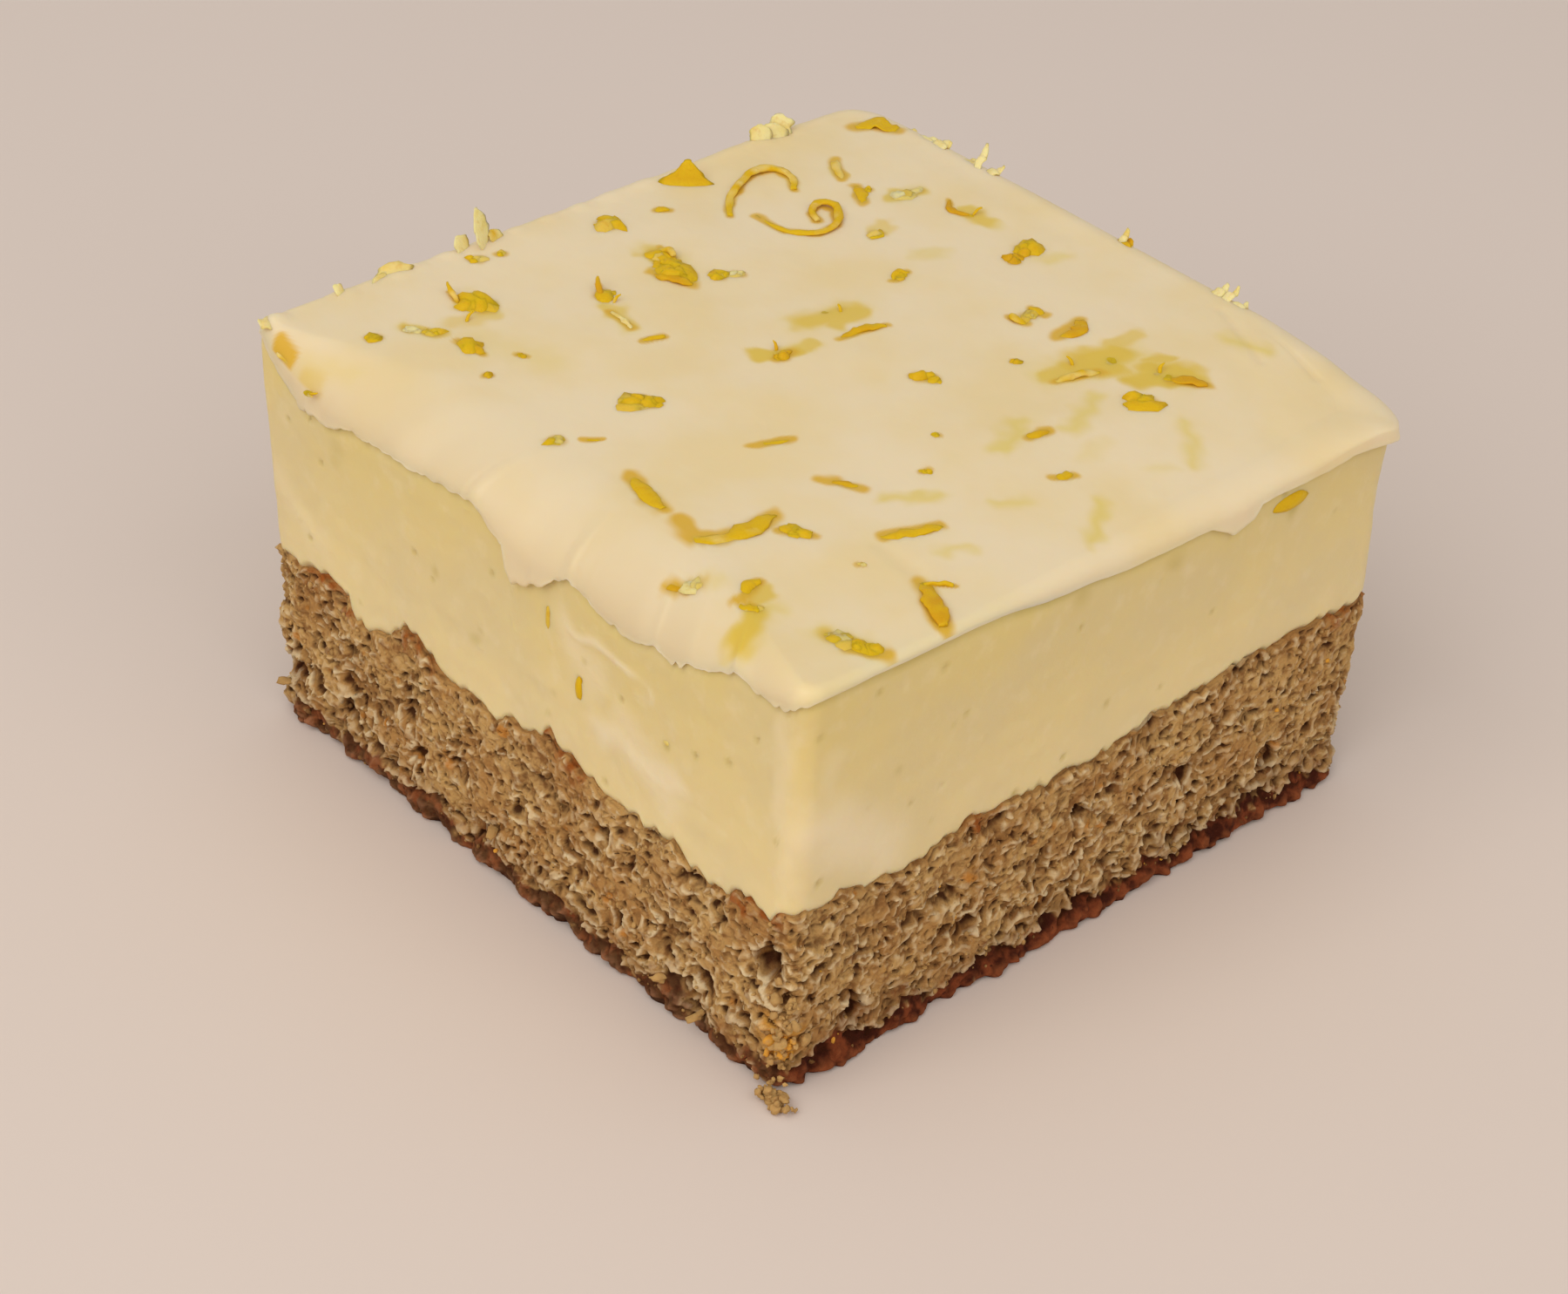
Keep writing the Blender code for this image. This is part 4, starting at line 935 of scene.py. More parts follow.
def crumb_material(colours):
    """Carrot sponge, baked and cut: matt, with a painted highlight on the raised crumb, painted shade in the
    pores, and spice and carrot specks.
    """
    material, tree, shader, place = new_material("carrot_sponge_baked_crumb")
    cavity_shading = mask_of(tree, "cavity_shading")
    tone = mottle(tree, place, 4.5, 0.35, 0.68)
    crumb = mixed(tree, tone, colours.crumb_pale, linear("#ae8049"))
    # Damp spots a little smaller than a grain of rice
    crumb = mixed(tree, mottle(tree, place, 0.9, 0.46, 0.7), crumb, linear("#8d6235"))
    # Painted highlight: crumb that stands above its neighbours is paler
    raised = add_node(tree, "MapRange", {0: cavity_shading, 1: 0.42, 2: 0.1}).outputs[0]
    crumb = mixed(tree, product(tree, raised, 0.75), crumb, linear("#e8d2a8"))
    # Painted shade in the pores, by the depth mask
    crumb = mixed(tree, product(tree, mask_of(tree, "depth"), 0.8), crumb, colours.crumb_pore_shade)
    shred = product(tree, mottle(tree, place, 2.2, 0.68, 0.76, 1.0), 0.6)
    crumb = mixed(tree, shred, crumb, colours.carrot)
    blistered = mottle(tree, place, 1.3, 0.32, 0.6)
    crumb = mixed(tree, product(tree, mask_of(tree, "toasted"), blistered), crumb, colours.toast)
    crumb = mixed(tree, mask_of(tree, "golden"), crumb, colours.golden)
    browned = mixed(tree, mottle(tree, place, 1.6, 0.42, 0.66), colours.base_brown, linear("#7c3d20"))
    # Painted highlight on the raised crust as well
    browned = mixed(tree, product(tree, raised, 0.45), browned, linear("#9c5832"))
    crumb = mixed(tree, mask_of(tree, "browned"), crumb, browned)
    # Painted shade: the deepest hollows turn near black
    sunk = add_node(tree, "MapRange", {0: cavity_shading, 1: 0.53, 2: 0.85}).outputs[0]
    crumb = mixed(tree, product(tree, sunk, 0.9), crumb, linear("#3a1806"))
    # Ground spice, drawn coarser than it is, so that it shows
    specks = product(tree, mottle(tree, place, 0.6, 0.75, 0.8, 1.0), 0.8)
    crumb = mixed(tree, specks, crumb, linear("#35180a"))
    set_shader(tree, shader, crumb, 0.85, 0.12, subsurface=(0.1, (1.0, 0.6, 0.3), 0.4),
               bump=(0.35, 4.0, 0.8, 0.3), place=place)
    return material


def grain_material(colours):
    """Loose crumbs of the same sponge, each with its own tone from pale to toasted, with painted shade where
    they sit deep.
    """
    material, tree, shader, place = new_material("carrot_sponge_loose_crumbs")
    tone = mask_of(tree, "tone")
    # From pale crumb towards the painted shade of the pores, by each grain's tone
    pale = mixed(tree, tone, colours.crumb_pale, colours.crumb_pore_shade)
    orange = add_node(tree, "MapRange", {0: tone, 1: 0.93, 2: 0.96}).outputs[0]
    pale = mixed(tree, orange, pale, colours.golden)
    pale = mixed(tree, mottle(tree, place, 0.7, 0.5, 0.75), pale, linear("#b88f58"))
    set_shader(tree, shader, pale, 0.85, 0.12, subsurface=(0.12, (1.0, 0.6, 0.3), 0.6),
               bump=(0.3, 3.0, 0.6, 0.15), place=place)
    return material


def filling_material(colours):
    """Set lemon cheesecake, cut with a knife: soft yellow that light enters, faintly damp."""
    material, tree, shader, place = new_material("lemon_cheesecake_cut")
    # Painted light: paler low down, as if lit from the floor, and darker at the top, as if in shade under
    # the cream's lip
    colour = mixed(tree, mask_of(tree, "upper"), colours.filling_bounce_lit, colours.filling)
    colour = mixed(tree, product(tree, mottle(tree, place, 9.0, 0.35, 0.7), 0.5), colour, linear("#dac799"))
    curds = product(tree, mottle(tree, place, 2.2, 0.5, 0.8), 0.3)
    colour = mixed(tree, curds, colour, colours.filling_pale)
    colour = mixed(tree, mask_of(tree, "smeared"), colour, colours.filling_pale)
    # Stains, and the painted shadow under the cream's hem, in the same olive
    colour = mixed(tree, mask_of(tree, "stained"), colour, colours.filling_stain_and_shade)
    set_shader(tree, shader, colour, 0.48, 0.35, subsurface=(0.6, (1.0, 0.75, 0.35), 1.4),
               bump=(0.7, 4.0, 0.25, 0.12), place=place)
    return material


def cream_material(colours):
    """Spread cream, set cold: ivory with a soft sheen, yellow where zest lies under its skin, and painted
    shade on the slope down to its torn hem.
    """
    material, tree, shader, place = new_material("spread_cream_set")
    colour = mixed(tree, mottle(tree, place, 12.0, 0.35, 0.7), colours.cream, linear("#ead3a0"))
    # Painted shade on the slope that faces the light, down to the torn hem of the cut face
    colour = mixed(tree, mask_of(tree, "slope_shade"), colour, colours.cream_slope_shade)
    colour = mixed(tree, mask_of(tree, "stained"), colour, colours.cream_stain)
    colour = mixed(tree, mask_of(tree, "pale"), colour, colours.cream_tatter)
    colour = mixed(tree, mask_of(tree, "gold"), colour, colours.cream_gold)
    set_shader(tree, shader, colour, 0.42, 0.35, subsurface=(0.6, (1.0, 0.8, 0.5), 1.4),
               bump=(1.6, 3.0, 0.18, 0.12), place=place)
    return material


def zest_material(name, colours):
    """Lemon zest, grated and damp: its tone runs from pale pith through gold to drier orange."""
    material, tree, shader, place = new_material(name)
    tone = mask_of(tree, "tone")
    warm = add_node(tree, "MapRange", {0: tone, 1: 0.65, 2: 1.1}).outputs[0]
    cool = add_node(tree, "MapRange", {0: tone, 1: 0.0, 2: 0.4}).outputs[0]
    colour = mixed(tree, cool, colours.zest_pale, colours.zest_gold)
    colour = mixed(tree, warm, colour, colours.zest_orange)
    dots = product(tree, mottle(tree, place, 0.6, 0.5, 0.75), 0.3)
    colour = mixed(tree, dots, colour, colours.zest_orange)
    set_shader(tree, shader, colour, 0.5, 0.15, subsurface=(0.35, (1.0, 0.7, 0.2), 0.5),
               bump=(0.3, 2.0, 0.5, 0.1), place=place)
    return material


def floor_material(colours):
    """Matt painted board: plain and pale, with the faintest mottle."""
    material, tree, shader, place = new_material("matt_painted_board")
    uneven = product(tree, mottle(tree, place, 60.0, 0.3, 0.7), 0.04)
    colour = mixed(tree, uneven, colours.floor, linear("#d4c2b6"))
    set_shader(tree, shader, colour, 0.6, 0.2)
    return material


class CHEESECAKE_OT_sponge(bpy.types.Operator):
    """Makes the cut sponge with its open crumb, its browned base and its toasted skin"""

    bl_idname = "cheesecake.sponge"
    bl_label = "Carrot sponge"

    def execute(self, context):
        columns, rows = SPONGE_GRID
        strength = context.scene.cheesecake_sizes.crumb_strength
        shares = np.arange(columns) * 4 / columns
        levels = np.linspace(0.0, 1.0, rows)[:, None]
        grid, masks = sponge_surface(np.broadcast_to(shares, (rows, columns)), levels + 0 * shares, strength)
        relief = masks.pop("relief")
        # How far the crumb lies below its neighbours, for painted shade in the hollows and a painted
        # highlight on the rises: half-way where the crumb is level, more in small and in wide hollows
        masks["cavity_shading"] = np.clip(0.5 + hollows(relief, 3) + 0.5 * hollows(relief, 8), 0.0, 1.0)
        skin = grid[-1, :, 2]
        inner = []
        for inset, drop in ((1.4, 0.1), (3.0, 0.5)):
            places, _ = wall(shares, np.full(columns, SPONGE_LEVEL), inset)
            inner.append(np.column_stack([places, skin - drop]))
        grid = np.concatenate([grid, np.stack(inner)])
        points = np.concatenate([grid.reshape(-1, 3), [[0, 0, SPONGE_LEVEL - 1], [0, 0, 0]]])
        index = np.arange((rows + 2) * columns).reshape(rows + 2, columns)
        faces = [quads_of(index), fan_of(index[-1], len(points) - 2, True),
                 fan_of(index[0], len(points) - 1, False)]
        values = {}
        for label, mask in masks.items():
            ends = [0.0, float(label == "browned")]
            values[label] = np.concatenate([mask.ravel(), np.zeros(2 * columns), ends])
        piece = put_mesh("sponge_crumb", points, faces, values)
        finish_piece(piece, crumb_material(context.scene.cheesecake_colours), "carrot_sponge")
        return {"FINISHED"}


class CHEESECAKE_OT_grains(bpy.types.Operator):
    """Makes the loose crumbs that cling to the cut sponge, and those at its broken corner"""

    bl_idname = "cheesecake.grains"
    bl_label = "Crumb grains"

    def execute(self, context):
        sizes = context.scene.cheesecake_sizes
        draw = np.random.RandomState(5)
        count = sizes.grain_count
        shares, levels = draw.uniform(0, 4, count), draw.uniform(0.05, 0.97, count)
        spots, masks = sponge_surface(shares, levels, sizes.crumb_strength)
        radii = 0.08 + 0.17 * draw.uniform(0.0, 1.0, count) ** 2
        shape = radii[:, None] * draw.uniform(0.7, 1.25, (count, 3))
        # A grain's tone is partly random, partly browned crust, and partly painted shade where it sits deep
        # or on the clean face
        tones = draw.uniform(0.0, 0.45, count) + 0.5 * masks["depth"] + 0.5 * masks["browned"]
        tones[draw.uniform(0, 1, count) < 0.012] = 0.98
        grains = lumps(spots, shape, draw.uniform(0, 360, count), np.clip(tones, 0, 0.9) * (tones < 0.97)
                       + 0.98 * (tones >= 0.97), 501, 0.45, rows=4, columns=6)
        spots = np.concatenate([*(draw.normal(0.0, 1.0, (number, 3)) * np.array(spread) + np.array(middle)
                                  for number, middle, spread in (CLINGING, FALLEN)), FLAKES])
        spots[:, 2] = np.maximum(spots[:, 2], 0.3)
        shape = draw.uniform(0.14, 0.4, (len(spots), 1)) * draw.uniform(0.7, 1.3, (len(spots), 3))
        shape[:, 2] = np.minimum(shape[:, 2], spots[:, 2])
        shape[-len(FLAKES):] = FLAKE_RADII
        tones = draw.uniform(0, 0.18, len(spots))
        tones[(np.abs(spots[:, 2] - 4.9) < 1.3) & (draw.uniform(0, 1, len(spots)) < 0.6)] = 0.97
        chunks = lumps(spots, shape, draw.uniform(0, 360, len(spots)), tones, 511, 0.7, 6, 9)
        points, faces, tone = joined(grains, chunks)
        points[:, 2] = np.maximum(points[:, 2], 0.0)
        piece = put_mesh("sponge_grains", points, faces, {"tone": tone})
        finish_piece(piece, grain_material(context.scene.cheesecake_colours), "carrot_sponge")
        return {"FINISHED"}


class CHEESECAKE_OT_filling(bpy.types.Operator):
    """Makes the cut filling, with its pits, smears and stains"""

    bl_idname = "cheesecake.filling"
    bl_label = "Cheesecake filling"

    def execute(self, context):
        columns, rows = FILLING_GRID
        shares = np.arange(columns) * 4 / columns
        foot_places, normals = wall(shares, np.full(columns, SPONGE_LEVEL))
        foot = skin_heights(foot_places, normals) - OVERLAP
        head_places, normals = wall(shares, np.full(columns, FILLING_LEVEL))
        hem = hem_depths(head_places, normals)
        brow = top_heights(*head_places.T) - hem + np.minimum(0.5, 0.35 * hem)
        levels = np.linspace(0.0, 1.0, rows)[:, None]
        heights = foot + (brow - foot) * levels
        places, normals = wall(np.broadcast_to(shares, heights.shape), heights)
        points = np.concatenate([places, heights[..., None]], axis=-1)
        torn = cut_share(normals)
        relief = -0.22 * noise(points, 11.0, 41) + 0.05 * noise(points * np.array([1, 1, 3]), 4.0, 521)
        relief += (0.03 + 0.05 * torn) * fractal(points, 1.5, 531, 3)
        nearest, own = cells(points, 3.0, 541)
        relief += 0.3 * smooth_step(1 - nearest / (0.06 + 0.1 * own)) * (own > 0.45)
        pitted = smooth_step(1.4 - nearest / (0.07 + 0.1 * own)) * (own > 0.5)
        # It sank a little below the cream at the right corner
        away = np.linalg.norm(points - np.array(SUNK_AT), axis=-1) / SUNK_REACH
        relief += SUNK_DEPTH * np.exp(-away ** 2)
        # The knife drew the filling in a little under the cream's hem, and at the ragged sponge
        relief += 0.12 * smooth_step((levels - 0.9) / 0.1)
        relief += 0.35 * (1 - smooth_step((heights - foot) / 0.8))
        nearest, own = cells(points + 40.0, 2.4, 545)
        relief -= 0.14 * smooth_step(1 - nearest / (0.1 + 0.08 * own)) * (own > 0.35)
        smeared, stained = self.marks(points, torn, brow - heights)
        relief -= 0.12 * smeared
        # The little pits take the same olive
        stained = np.maximum(stained, 0.45 * pitted)
        points[..., :2] -= normals * relief[..., None]
        low = [np.column_stack([wall(shares, np.full(columns, SPONGE_LEVEL), inset)[0], foot - drop])
               for inset, drop in ((3.0, 0.6), (1.6, 0.5))]
        high = [np.column_stack([wall(shares, np.full(columns, FILLING_LEVEL), inset)[0], brow - drop])
                for inset, drop in ((0.8, 0.3), (2.4, 1.6))]
        grid = np.concatenate([np.stack(low), points, np.stack(high)])
        index = np.arange(grid.shape[0] * columns).reshape(-1, columns)
        middle = [[0, 0, SPONGE_LEVEL - 0.6], [0, 0, FILLING_LEVEL]]
        flat = np.concatenate([grid.reshape(-1, 3), middle])
        faces = [quads_of(index), fan_of(index[0], len(flat) - 2, False),
                 fan_of(index[-1], len(flat) - 1, True)]
        blank = np.zeros(2 * columns)
        # Share of the height up the face, for the painted light on the filling
        upper = np.broadcast_to(levels, heights.shape)
        values = {name: np.concatenate([blank, mask.ravel(), blank, [0, 0]])
                  for name, mask in (("smeared", smeared), ("stained", stained), ("upper", upper))}
        piece = put_mesh("filling_cut", flat, faces, values)
        material = filling_material(context.scene.cheesecake_colours)
        finish_piece(piece, material, "cheesecake_filling")
        return {"FINISHED"}

    def marks(self, points, torn, below_hem):
        """Whiter smears and greenish stains, as soft strokes between two ends on a face, and a painted
        shadow line under the cream's hem.
        """
        bent = warped(points, 2.6, 551, 0.9)
        smeared = np.zeros(points.shape[:-1])
        for start, end, half, strength in SMEARS:
            away = from_stroke(bent, start, end) / half
            smeared = np.maximum(smeared, strength * (1 - smooth_step(away * 0.7)))
        stained = np.zeros(points.shape[:-1])
        for x, y, z, reach, strength in FILLING_STAINS:
            away = np.linalg.norm((bent - np.array([x, y, z])) * np.array([1, 1, 0.8]), axis=-1) / reach
            stained = np.maximum(stained, strength * (1 - smooth_step(away)))
        # Painted shadow: a narrow darker line where the filling meets the cream, under the cream's hem
        line = (1 - smooth_step(np.abs(below_hem - 0.5) / 0.9)) * (0.5 + 0.3 * noise(points, 3.0, 561))
        stained = np.maximum(stained, line * (1 - 0.55 * torn))
        return smeared, stained


class CHEESECAKE_OT_cream(bpy.types.Operator):
    """Makes the spread cream: its waved top, its rounded edge and its ragged hem"""

    bl_idname = "cheesecake.cream"
    bl_label = "Cream topping"

    def execute(self, context):
        sizes = context.scene.cheesecake_sizes
        columns = 4 * CREAM_ACROSS
        shares = np.arange(columns) / CREAM_ACROSS
        edge, normals = wall(shares, np.full(columns, TOP_LEVEL))
        depths = hem_depths(edge, normals)
        tall, wide = edge_rounds(edge, normals, sizes.edge_softness)
        marks = [self.settled_marks(rows, sizes.edge_softness)
                 for rows in (STAINS, PATCHES, self.zest_marks())]
        top = self.top_patch(wall(shares, np.full(columns, TOP_LEVEL), wide, 1.0)[0])
        rows, slope_shade = self.side_rows(shares, depths, tall, wide, sizes.lip_strength)
        patch = np.arange((CREAM_ACROSS + 1) ** 2).reshape(CREAM_ACROSS + 1, -1)
        rim = np.concatenate([patch[:-1, 0], patch[-1, :-1], patch[:0:-1, -1], patch[0, :0:-1]])
        index = np.arange(rows.shape[0] * columns).reshape(-1, columns) + patch.size
        points = np.concatenate([top, rows.reshape(-1, 3), [[0, 0, FILLING_LEVEL - 2.0]]])
        up = np.stack([patch[:-1, :-1], patch[1:, :-1], patch[1:, 1:], patch[:-1, 1:]], axis=-1)
        faces = [up.reshape(-1, 4), quads_of(np.concatenate([index, rim[None]])),
                 fan_of(index[0], len(points) - 1, False)]
        stained, pale, gold = self.masks(points[:, 0], points[:, 1], marks)
        shown = np.concatenate([np.ones(patch.size), self.on_top(rows), [0.0]])
        values = {"stained": stained * shown, "pale": pale * shown, "gold": gold * shown,
                  "slope_shade": np.concatenate([np.zeros(patch.size), slope_shade.ravel(), [0.0]])}
        piece = put_mesh("cream_spread", points, faces, values)
        finish_piece(piece, cream_material(context.scene.cheesecake_colours), "cream_topping")
        return {"FINISHED"}

    def on_top(self, rows):
        """1 for the rows of the rounded edge, 0 for those under the cream and on its upright side."""
        shown = np.zeros(rows.shape[:2])
        shown[-SHOWN_ROWS:] = 1.0
        return shown.ravel()

    def top_patch(self, rim):
        """The top inside the rounded edge: a square grid whose rings are the rim drawn to the middle."""
        steps = np.linspace(-1, 1, CREAM_ACROSS + 1)
        u, v = np.meshgrid(steps, steps, indexing="ij")
        reach = np.maximum(np.maximum(np.abs(u), np.abs(v)), 1e-9)
        u, v = u / reach, v / reach
        share = np.where(v <= -1 + 1e-9, (u + 1) / 2, np.where(u >= 1 - 1e-9, 1 + (v + 1) / 2,
                         np.where(v >= 1 - 1e-9, 2 + (1 - u) / 2, 3 + (1 - v) / 2)))
        place = share * CREAM_ACROSS
        before = np.floor(place).astype(int)
        blend = (place - before)[..., None]
        ring = rim[before % len(rim)] * (1 - blend) + rim[(before + 1) % len(rim)] * blend
        middle = rim.mean(axis=0)
        flat = middle + (ring - middle) * np.minimum(reach, 1.0)[..., None]
        x, y = flat[..., 0], flat[..., 1]
        return np.stack([x, y, top_heights(x, y) + self.dents(x, y)], axis=-1).reshape(-1, 3)

    def settled_marks(self, rows, softness):
        """Marks as two ends, half width and strength, their ends settled on the cream."""
        marks = np.array(rows, float)
        starts = settled(marks[:, 0], marks[:, 1], softness)
        ends = settled(marks[:, 2], marks[:, 3], softness)
        return np.column_stack([*starts, *ends, marks[:, 4:]])

    def zest_marks(self):
        """Gold patches under and just round each shred and fleck, in the same form as the stains."""
        rows = [(*corners[step], *corners[step + 1], width / 2 + HALO, 0.95) for corners, width, *_ in STRIPS
                for step in range(len(corners) - 1)]
        for x, y, length, width, heading, _, tone in FLECKS:
            reach = heading_axes(heading)[0] * max(length - width, 0.1) / 2
            rows.append((x - reach[0], y - reach[1], x + reach[0], y + reach[1],
                         width / 2 + HALO, 0.65 + 0.3 * tone))
        return rows

    def patches(self, x, y, marks, firm, bend):
        """Patches along the marks: full within the share `firm` of the half width, and gone at 1.4 of it."""
        bent = warped(flat_points(x, y), 1.1, 571, bend)[..., :2]
        total = np.zeros(x.shape)
        for x0, y0, x1, y1, half, strength in marks:
            away = from_stroke(bent, (x0, y0), (x1, y1)) / half
            total = np.maximum(total, strength * (1 - smooth_step((away - firm) / (1.4 - firm))))
        return total

    def masks(self, x, y, marks):
        """How stained, how covered with pale tatters and how gold the cream is at each place."""
        stained, pale, gold = marks
        return (self.patches(x, y, stained, -0.1, 0.55), self.patches(x, y, pale, 0.45, 0.5),
                self.patches(x, y, gold, 0.5, 0.25))

    def dents(self, x, y):
        """Shallow creases left by the spreading knife, as grooves between two ends."""
        total = np.zeros(x.shape)
        for x0, y0, x1, y1, half, depth in CREASES:
            away = from_stroke(np.stack([x, y], axis=-1), (x0, y0), (x1, y1)) / half
            total -= depth * np.exp(-away ** 2)
        return total

    def side_rows(self, shares, depths, tall, wide, lip_strength):
        """Rows from under the cream to its rounded edge: the tuck, the hem, the lip, a quarter ellipse.

        Gives also how much painted shade darkens the cream on each row: most at the torn hem of the ragged
        cut face.
        """
        high = np.full(len(shares), TOP_LEVEL)
        edge, normals = wall(shares, high)
        torn = cut_share(normals) ** 6
        shoulder = top_heights(*wall(shares, high, wide, 1.0)[0].T)
        hem = top_heights(*edge.T) - depths
        side = np.maximum(shoulder - tall, hem + 0.05)
        lip = lip_strength * along_faces(LIP, edge, normals)
        rows = [np.column_stack([wall(shares, high, inset)[0], hem + rise])
                for inset, rise in ((4.0, -2.2), (2.4, -1.2), (1.0, -0.1), (0.3, 0.12), (0.02, 0.05))]
        slope_shade = [torn] * len(rows)
        thick = lip * (1 + 0.45 * fractal(flat_points(*edge.T), 2.2, 581, 3))
        patchy = 0.5 + 0.5 * smooth_step(0.5 + noise(flat_points(*edge.T), 3.2, 585))
        for share, out in ((0.0, 0.55), (0.05, 0.85), (0.14, 1.0), (0.3, 1.0), (0.5, 0.9), (0.75, 0.9)):
            height = hem + (side - hem) * share
            stands = (lip + (thick - lip) * (1 - share)) * out
            lumpy = torn * 0.22 * (1 - share) * fractal(np.column_stack([edge, height]), 1.5, 591, 3)
            rows.append(np.column_stack([wall(shares, high, -stands - lumpy, 0.3 * share)[0], height]))
            slope_shade.append(torn * patchy)
        for angle in np.radians(np.arange(0, 90, 6.0)):
            height = shoulder + (side - shoulder) * (1 - math.sin(angle))
            inset = wide * (1 - math.cos(angle)) - lip * 0.9 * math.cos(angle)
            rows.append(np.column_stack([wall(shares, high, inset, 0.3 + 0.7 * math.sin(angle))[0], height]))
            slope_shade.append(torn * patchy * math.cos(angle) ** 2)
        return np.stack(rows), np.stack(slope_shade)


class CHEESECAKE_OT_gold_zest(bpy.types.Operator):
    """Makes the gold shreds and curls of zest that lie on the cream"""

    bl_idname = "cheesecake.gold_zest"
    bl_label = "Gold zest"

    def execute(self, context):
        sizes, colours = context.scene.cheesecake_sizes, context.scene.cheesecake_colours
        points, faces, tones = ribbons(STRIPS, sizes.zest_thickness / MM, sizes.edge_softness, 601)
        piece = put_mesh("zest_shreds", points, faces, {"tone": tones})
        material = zest_material("lemon_zest_shredded", colours)
        finish_piece(piece, material, "cream_topping")
        return {"FINISHED"}


class CHEESECAKE_OT_flecks(bpy.types.Operator):
    """Makes the chunky flecks of zest that are half sunk in the cream, and those in the cut filling"""

    bl_idname = "cheesecake.flecks"
    bl_label = "Zest flecks"

    def execute(self, context):
        sizes, colours = context.scene.cheesecake_sizes, context.scene.cheesecake_colours
        draw = np.random.RandomState(3)
        bits = []
        for x, y, length, width, heading, height, tone in FLECKS:
            ahead, side = heading_axes(heading)
            for _ in range(3 + int(length * width * 0.6)):
                size = width * draw.uniform(0.4, 0.66)
                spot = np.array([x, y]) + ahead * draw.uniform(-0.5, 0.5) * (length - size)
                spot = spot + side * draw.uniform(-0.5, 0.5) * (width - size)
                bits.append((*spot, size * draw.uniform(0.9, 1.7), size, height * draw.uniform(0.8, 1.3),
                             heading + draw.uniform(-50, 50), tone + draw.uniform(-0.2, 0.15)))
        x, y, long_half, half, tall, swing, tone = np.array(bits).T
        x, y = settled(x, y, sizes.edge_softness)
        centres = np.column_stack([x, y, surface_under(x, y, sizes.edge_softness) - FLECK_SINKS * tall])
        points, faces, tones = lumps(centres, np.column_stack([long_half, half, tall]), swing,
                                     np.clip(tone, 0, 1), 611, 0.42, 6, 9)
        material = zest_material("lemon_zest_flecks", colours)
        piece = put_mesh("zest_flecks", points, faces, {"tone": tones})
        finish_piece(piece, material, "cream_topping")

        centres, radii, tones = (np.array(column) for column in zip(*ZEST_IN_FILLING))
        points, faces, tones = lumps(centres, radii, 0 * tones, tones, 621, 0.25, 12, 12)
        piece = put_mesh("zest_in_filling", points, faces, {"tone": tones})
        finish_piece(piece, material, "cheesecake_filling")
        return {"FINISHED"}


class CHEESECAKE_OT_pale_zest(bpy.types.Operator):
    """Makes the pale tatters, and the bits that stand up along the rim"""

    bl_idname = "cheesecake.pale_zest"
    bl_label = "Pale zest"

    def execute(self, context):
        sizes, colours = context.scene.cheesecake_sizes, context.scene.cheesecake_colours
        draw = np.random.RandomState(9)
        strips, flakes = [], []
        for x, y, length, width, heading, count in TATTERS:
            ahead, side = heading_axes(heading)
            for bit in range(count):
                spot = np.array([x, y]) + ahead * draw.uniform(-0.5, 0.5) * length * 0.8
                spot = spot + side * draw.uniform(-0.5, 0.5) * width * 0.6
                flakes.append((*spot, width * draw.uniform(0.35, 0.6), width * draw.uniform(0.25, 0.42),
                               heading + draw.uniform(-40, 40), draw.uniform(0.2, 0.5)))
                if bit == 0:
                    run = draw.uniform(0.8, 1.6)
                    strips.append(((spot, spot + (ahead * draw.uniform(-1, 1) + side) * run * 0.6), 0.32,
                                   draw.uniform(-0.2, 0.2), 0.1, run * 0.45, draw.uniform(0.4, 0.7), -0.5))
        x, y, long_half, half, swing, tone = np.array(flakes).T
        x, y = settled(x, y, sizes.edge_softness)
        centres = np.column_stack([x, y, surface_under(x, y, sizes.edge_softness) - FLAKE_SINKS])
        radii = np.column_stack([long_half, half, FLAKE_THICK + 0 * half])
        sheets = lumps(centres, radii, swing, tone, 661, 0.35, 7, 16)
        tatters = ribbons(strips, 0.3, sizes.edge_softness, 631, 0.05, steps=10, around=8)
        spikes = ribbons(STANDING, 0.4, sizes.edge_softness, 651, 0.5, steps=18, around=8, slides=False)
        points, faces, tones = joined(sheets, tatters, spikes)
        piece = put_mesh("zest_tatters", points, faces, {"tone": tones})
        material = zest_material("lemon_zest_pale", colours)
        finish_piece(piece, material, "cream_topping")
        return {"FINISHED"}


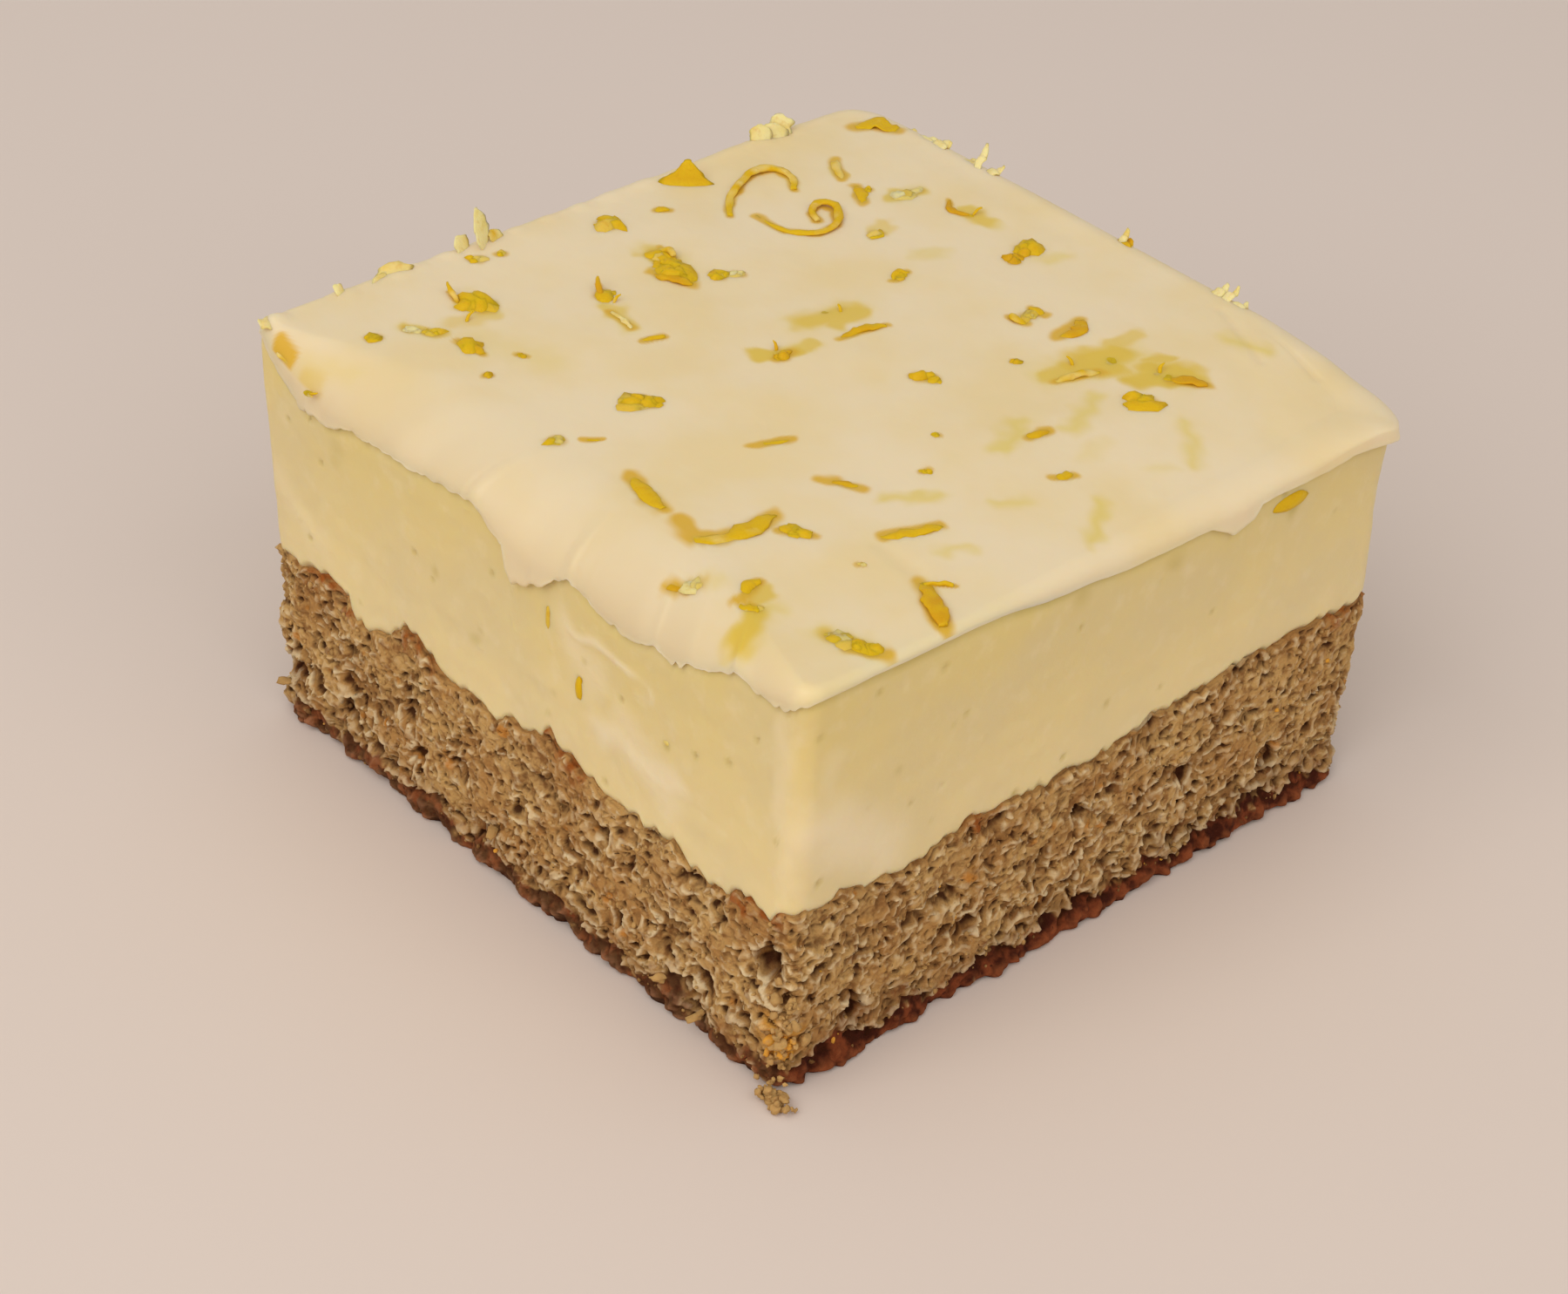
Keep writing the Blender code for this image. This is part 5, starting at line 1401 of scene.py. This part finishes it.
class CHEESECAKE_OT_stage(bpy.types.Operator):
    """Makes the pale floor, the soft lights and the camera"""

    bl_idname = "cheesecake.stage"
    bl_label = "Stage"

    def execute(self, context):
        self.make_floor(context)
        for light in LIGHTS:
            self.make_light(*light)
        self.make_world(context.scene)
        self.make_camera(context.scene)
        context.scene.view_settings.view_transform = "Standard"
        return {"FINISHED"}

    def make_floor(self, context):
        """A flat square, large enough to fill the view."""
        points = FLOOR_HALF * np.array([[-1, -1, 0], [1, -1, 0], [1, 1, 0], [-1, 1, 0]])
        floor = put_mesh("floor", points, [np.array([[0, 1, 2, 3]])], {})
        floor.data.materials.append(floor_material(context.scene.cheesecake_colours))

    def make_light(self, name, place, size, watts, colour):
        """A large soft square light that looks at the cake."""
        data = bpy.data.lights.new(name, "AREA")
        data.size = size
        data.energy = watts
        data.color = colour
        light = bpy.data.objects.new(name, data)
        self.aim(light, place, LIT_PLACE)
        bpy.context.scene.collection.objects.link(light)

    def aim(self, thing, place, target):
        """Places a thing and turns its -Z axis to the target, with its X axis level."""
        back = np.array(place) - np.array(target)
        back = back / np.linalg.norm(back)
        right = np.cross([0.0, 0.0, 1.0], back)
        right = right / np.linalg.norm(right)
        self.set_axes(thing, place, right, np.cross(back, right), back)

    def set_axes(self, thing, place, right, up, back):
        """Sets a thing's matrix from its place and its three axes."""
        rows = np.eye(4)
        rows[:3, 0], rows[:3, 1], rows[:3, 2], rows[:3, 3] = right, up, back, place
        thing.matrix_world = Matrix(rows.tolist())

    def make_world(self, scene):
        """An even, slightly warm sky that fills the shadows."""
        world = bpy.data.worlds.new("soft_room")
        world.use_nodes = True
        background = world.node_tree.nodes["Background"]
        background.inputs["Color"].default_value = SKY_COLOUR
        background.inputs["Strength"].default_value = SKY_STRENGTH
        scene.world = world

    def make_camera(self, scene):
        """The photograph's view: 80 mm lens, 35 degrees above the horizon, rolled by 3.6 degrees."""
        yaw, pitch, roll = (math.radians(angle) for angle in VIEW_ANGLES)
        back = np.array([math.sin(yaw) * math.cos(pitch), -math.cos(yaw) * math.cos(pitch), math.sin(pitch)])
        right = np.array([math.cos(yaw), math.sin(yaw), 0.0])
        up = np.cross(back, right)
        data = bpy.data.cameras.new("view")
        data.lens, data.sensor_width = LENS, SENSOR
        data.clip_start = 0.01
        camera = bpy.data.objects.new("view", data)
        place = np.array(VIEW_PLACE) * MM
        turned = (math.cos(roll) * right + math.sin(roll) * up,
                  math.cos(roll) * up - math.sin(roll) * right)
        self.set_axes(camera, place, *turned, back)
        scene.collection.objects.link(camera)
        scene.camera = camera


class VIEW3D_PT_cheesecake(bpy.types.Panel):
    """Lists the cake's sizes, colours and pieces"""

    bl_label = "Lemon carrot cheesecake"
    bl_idname = "VIEW3D_PT_cheesecake"
    bl_space_type = "VIEW_3D"
    bl_region_type = "UI"
    bl_category = "Cheesecake"

    def draw(self, context):
        for operator in OPERATORS:
            self.layout.operator(operator.bl_idname)
        for group in (context.scene.cheesecake_sizes, context.scene.cheesecake_colours):
            for name in group.__annotations__:
                self.layout.prop(group, name)


OPERATORS = (
    CHEESECAKE_OT_stage, CHEESECAKE_OT_sponge, CHEESECAKE_OT_grains, CHEESECAKE_OT_filling,
    CHEESECAKE_OT_cream, CHEESECAKE_OT_gold_zest, CHEESECAKE_OT_flecks, CHEESECAKE_OT_pale_zest,
)
CLASSES = (CheesecakeSizes, CheesecakeColours, *OPERATORS, VIEW3D_PT_cheesecake)


def register():
    """Registers every class and hangs the settings on the scene."""
    for made in CLASSES:
        bpy.utils.register_class(made)
    bpy.types.Scene.cheesecake_sizes = bpy.props.PointerProperty(type=CheesecakeSizes)
    bpy.types.Scene.cheesecake_colours = bpy.props.PointerProperty(type=CheesecakeColours)


def unregister():
    """Takes the settings and every class away again."""
    del bpy.types.Scene.cheesecake_sizes
    del bpy.types.Scene.cheesecake_colours
    for made in reversed(CLASSES):
        bpy.utils.unregister_class(made)


def main():
    """Registers the add-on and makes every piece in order."""
    for old in [thing for thing in bpy.data.objects if thing.name in ("Cube", "Light", "Camera")]:
        bpy.data.objects.remove(old)
    register()
    for operator in OPERATORS:
        group, name = operator.bl_idname.split(".")
        getattr(getattr(bpy.ops, group), name)()


if __name__ == "__main__":
    main()
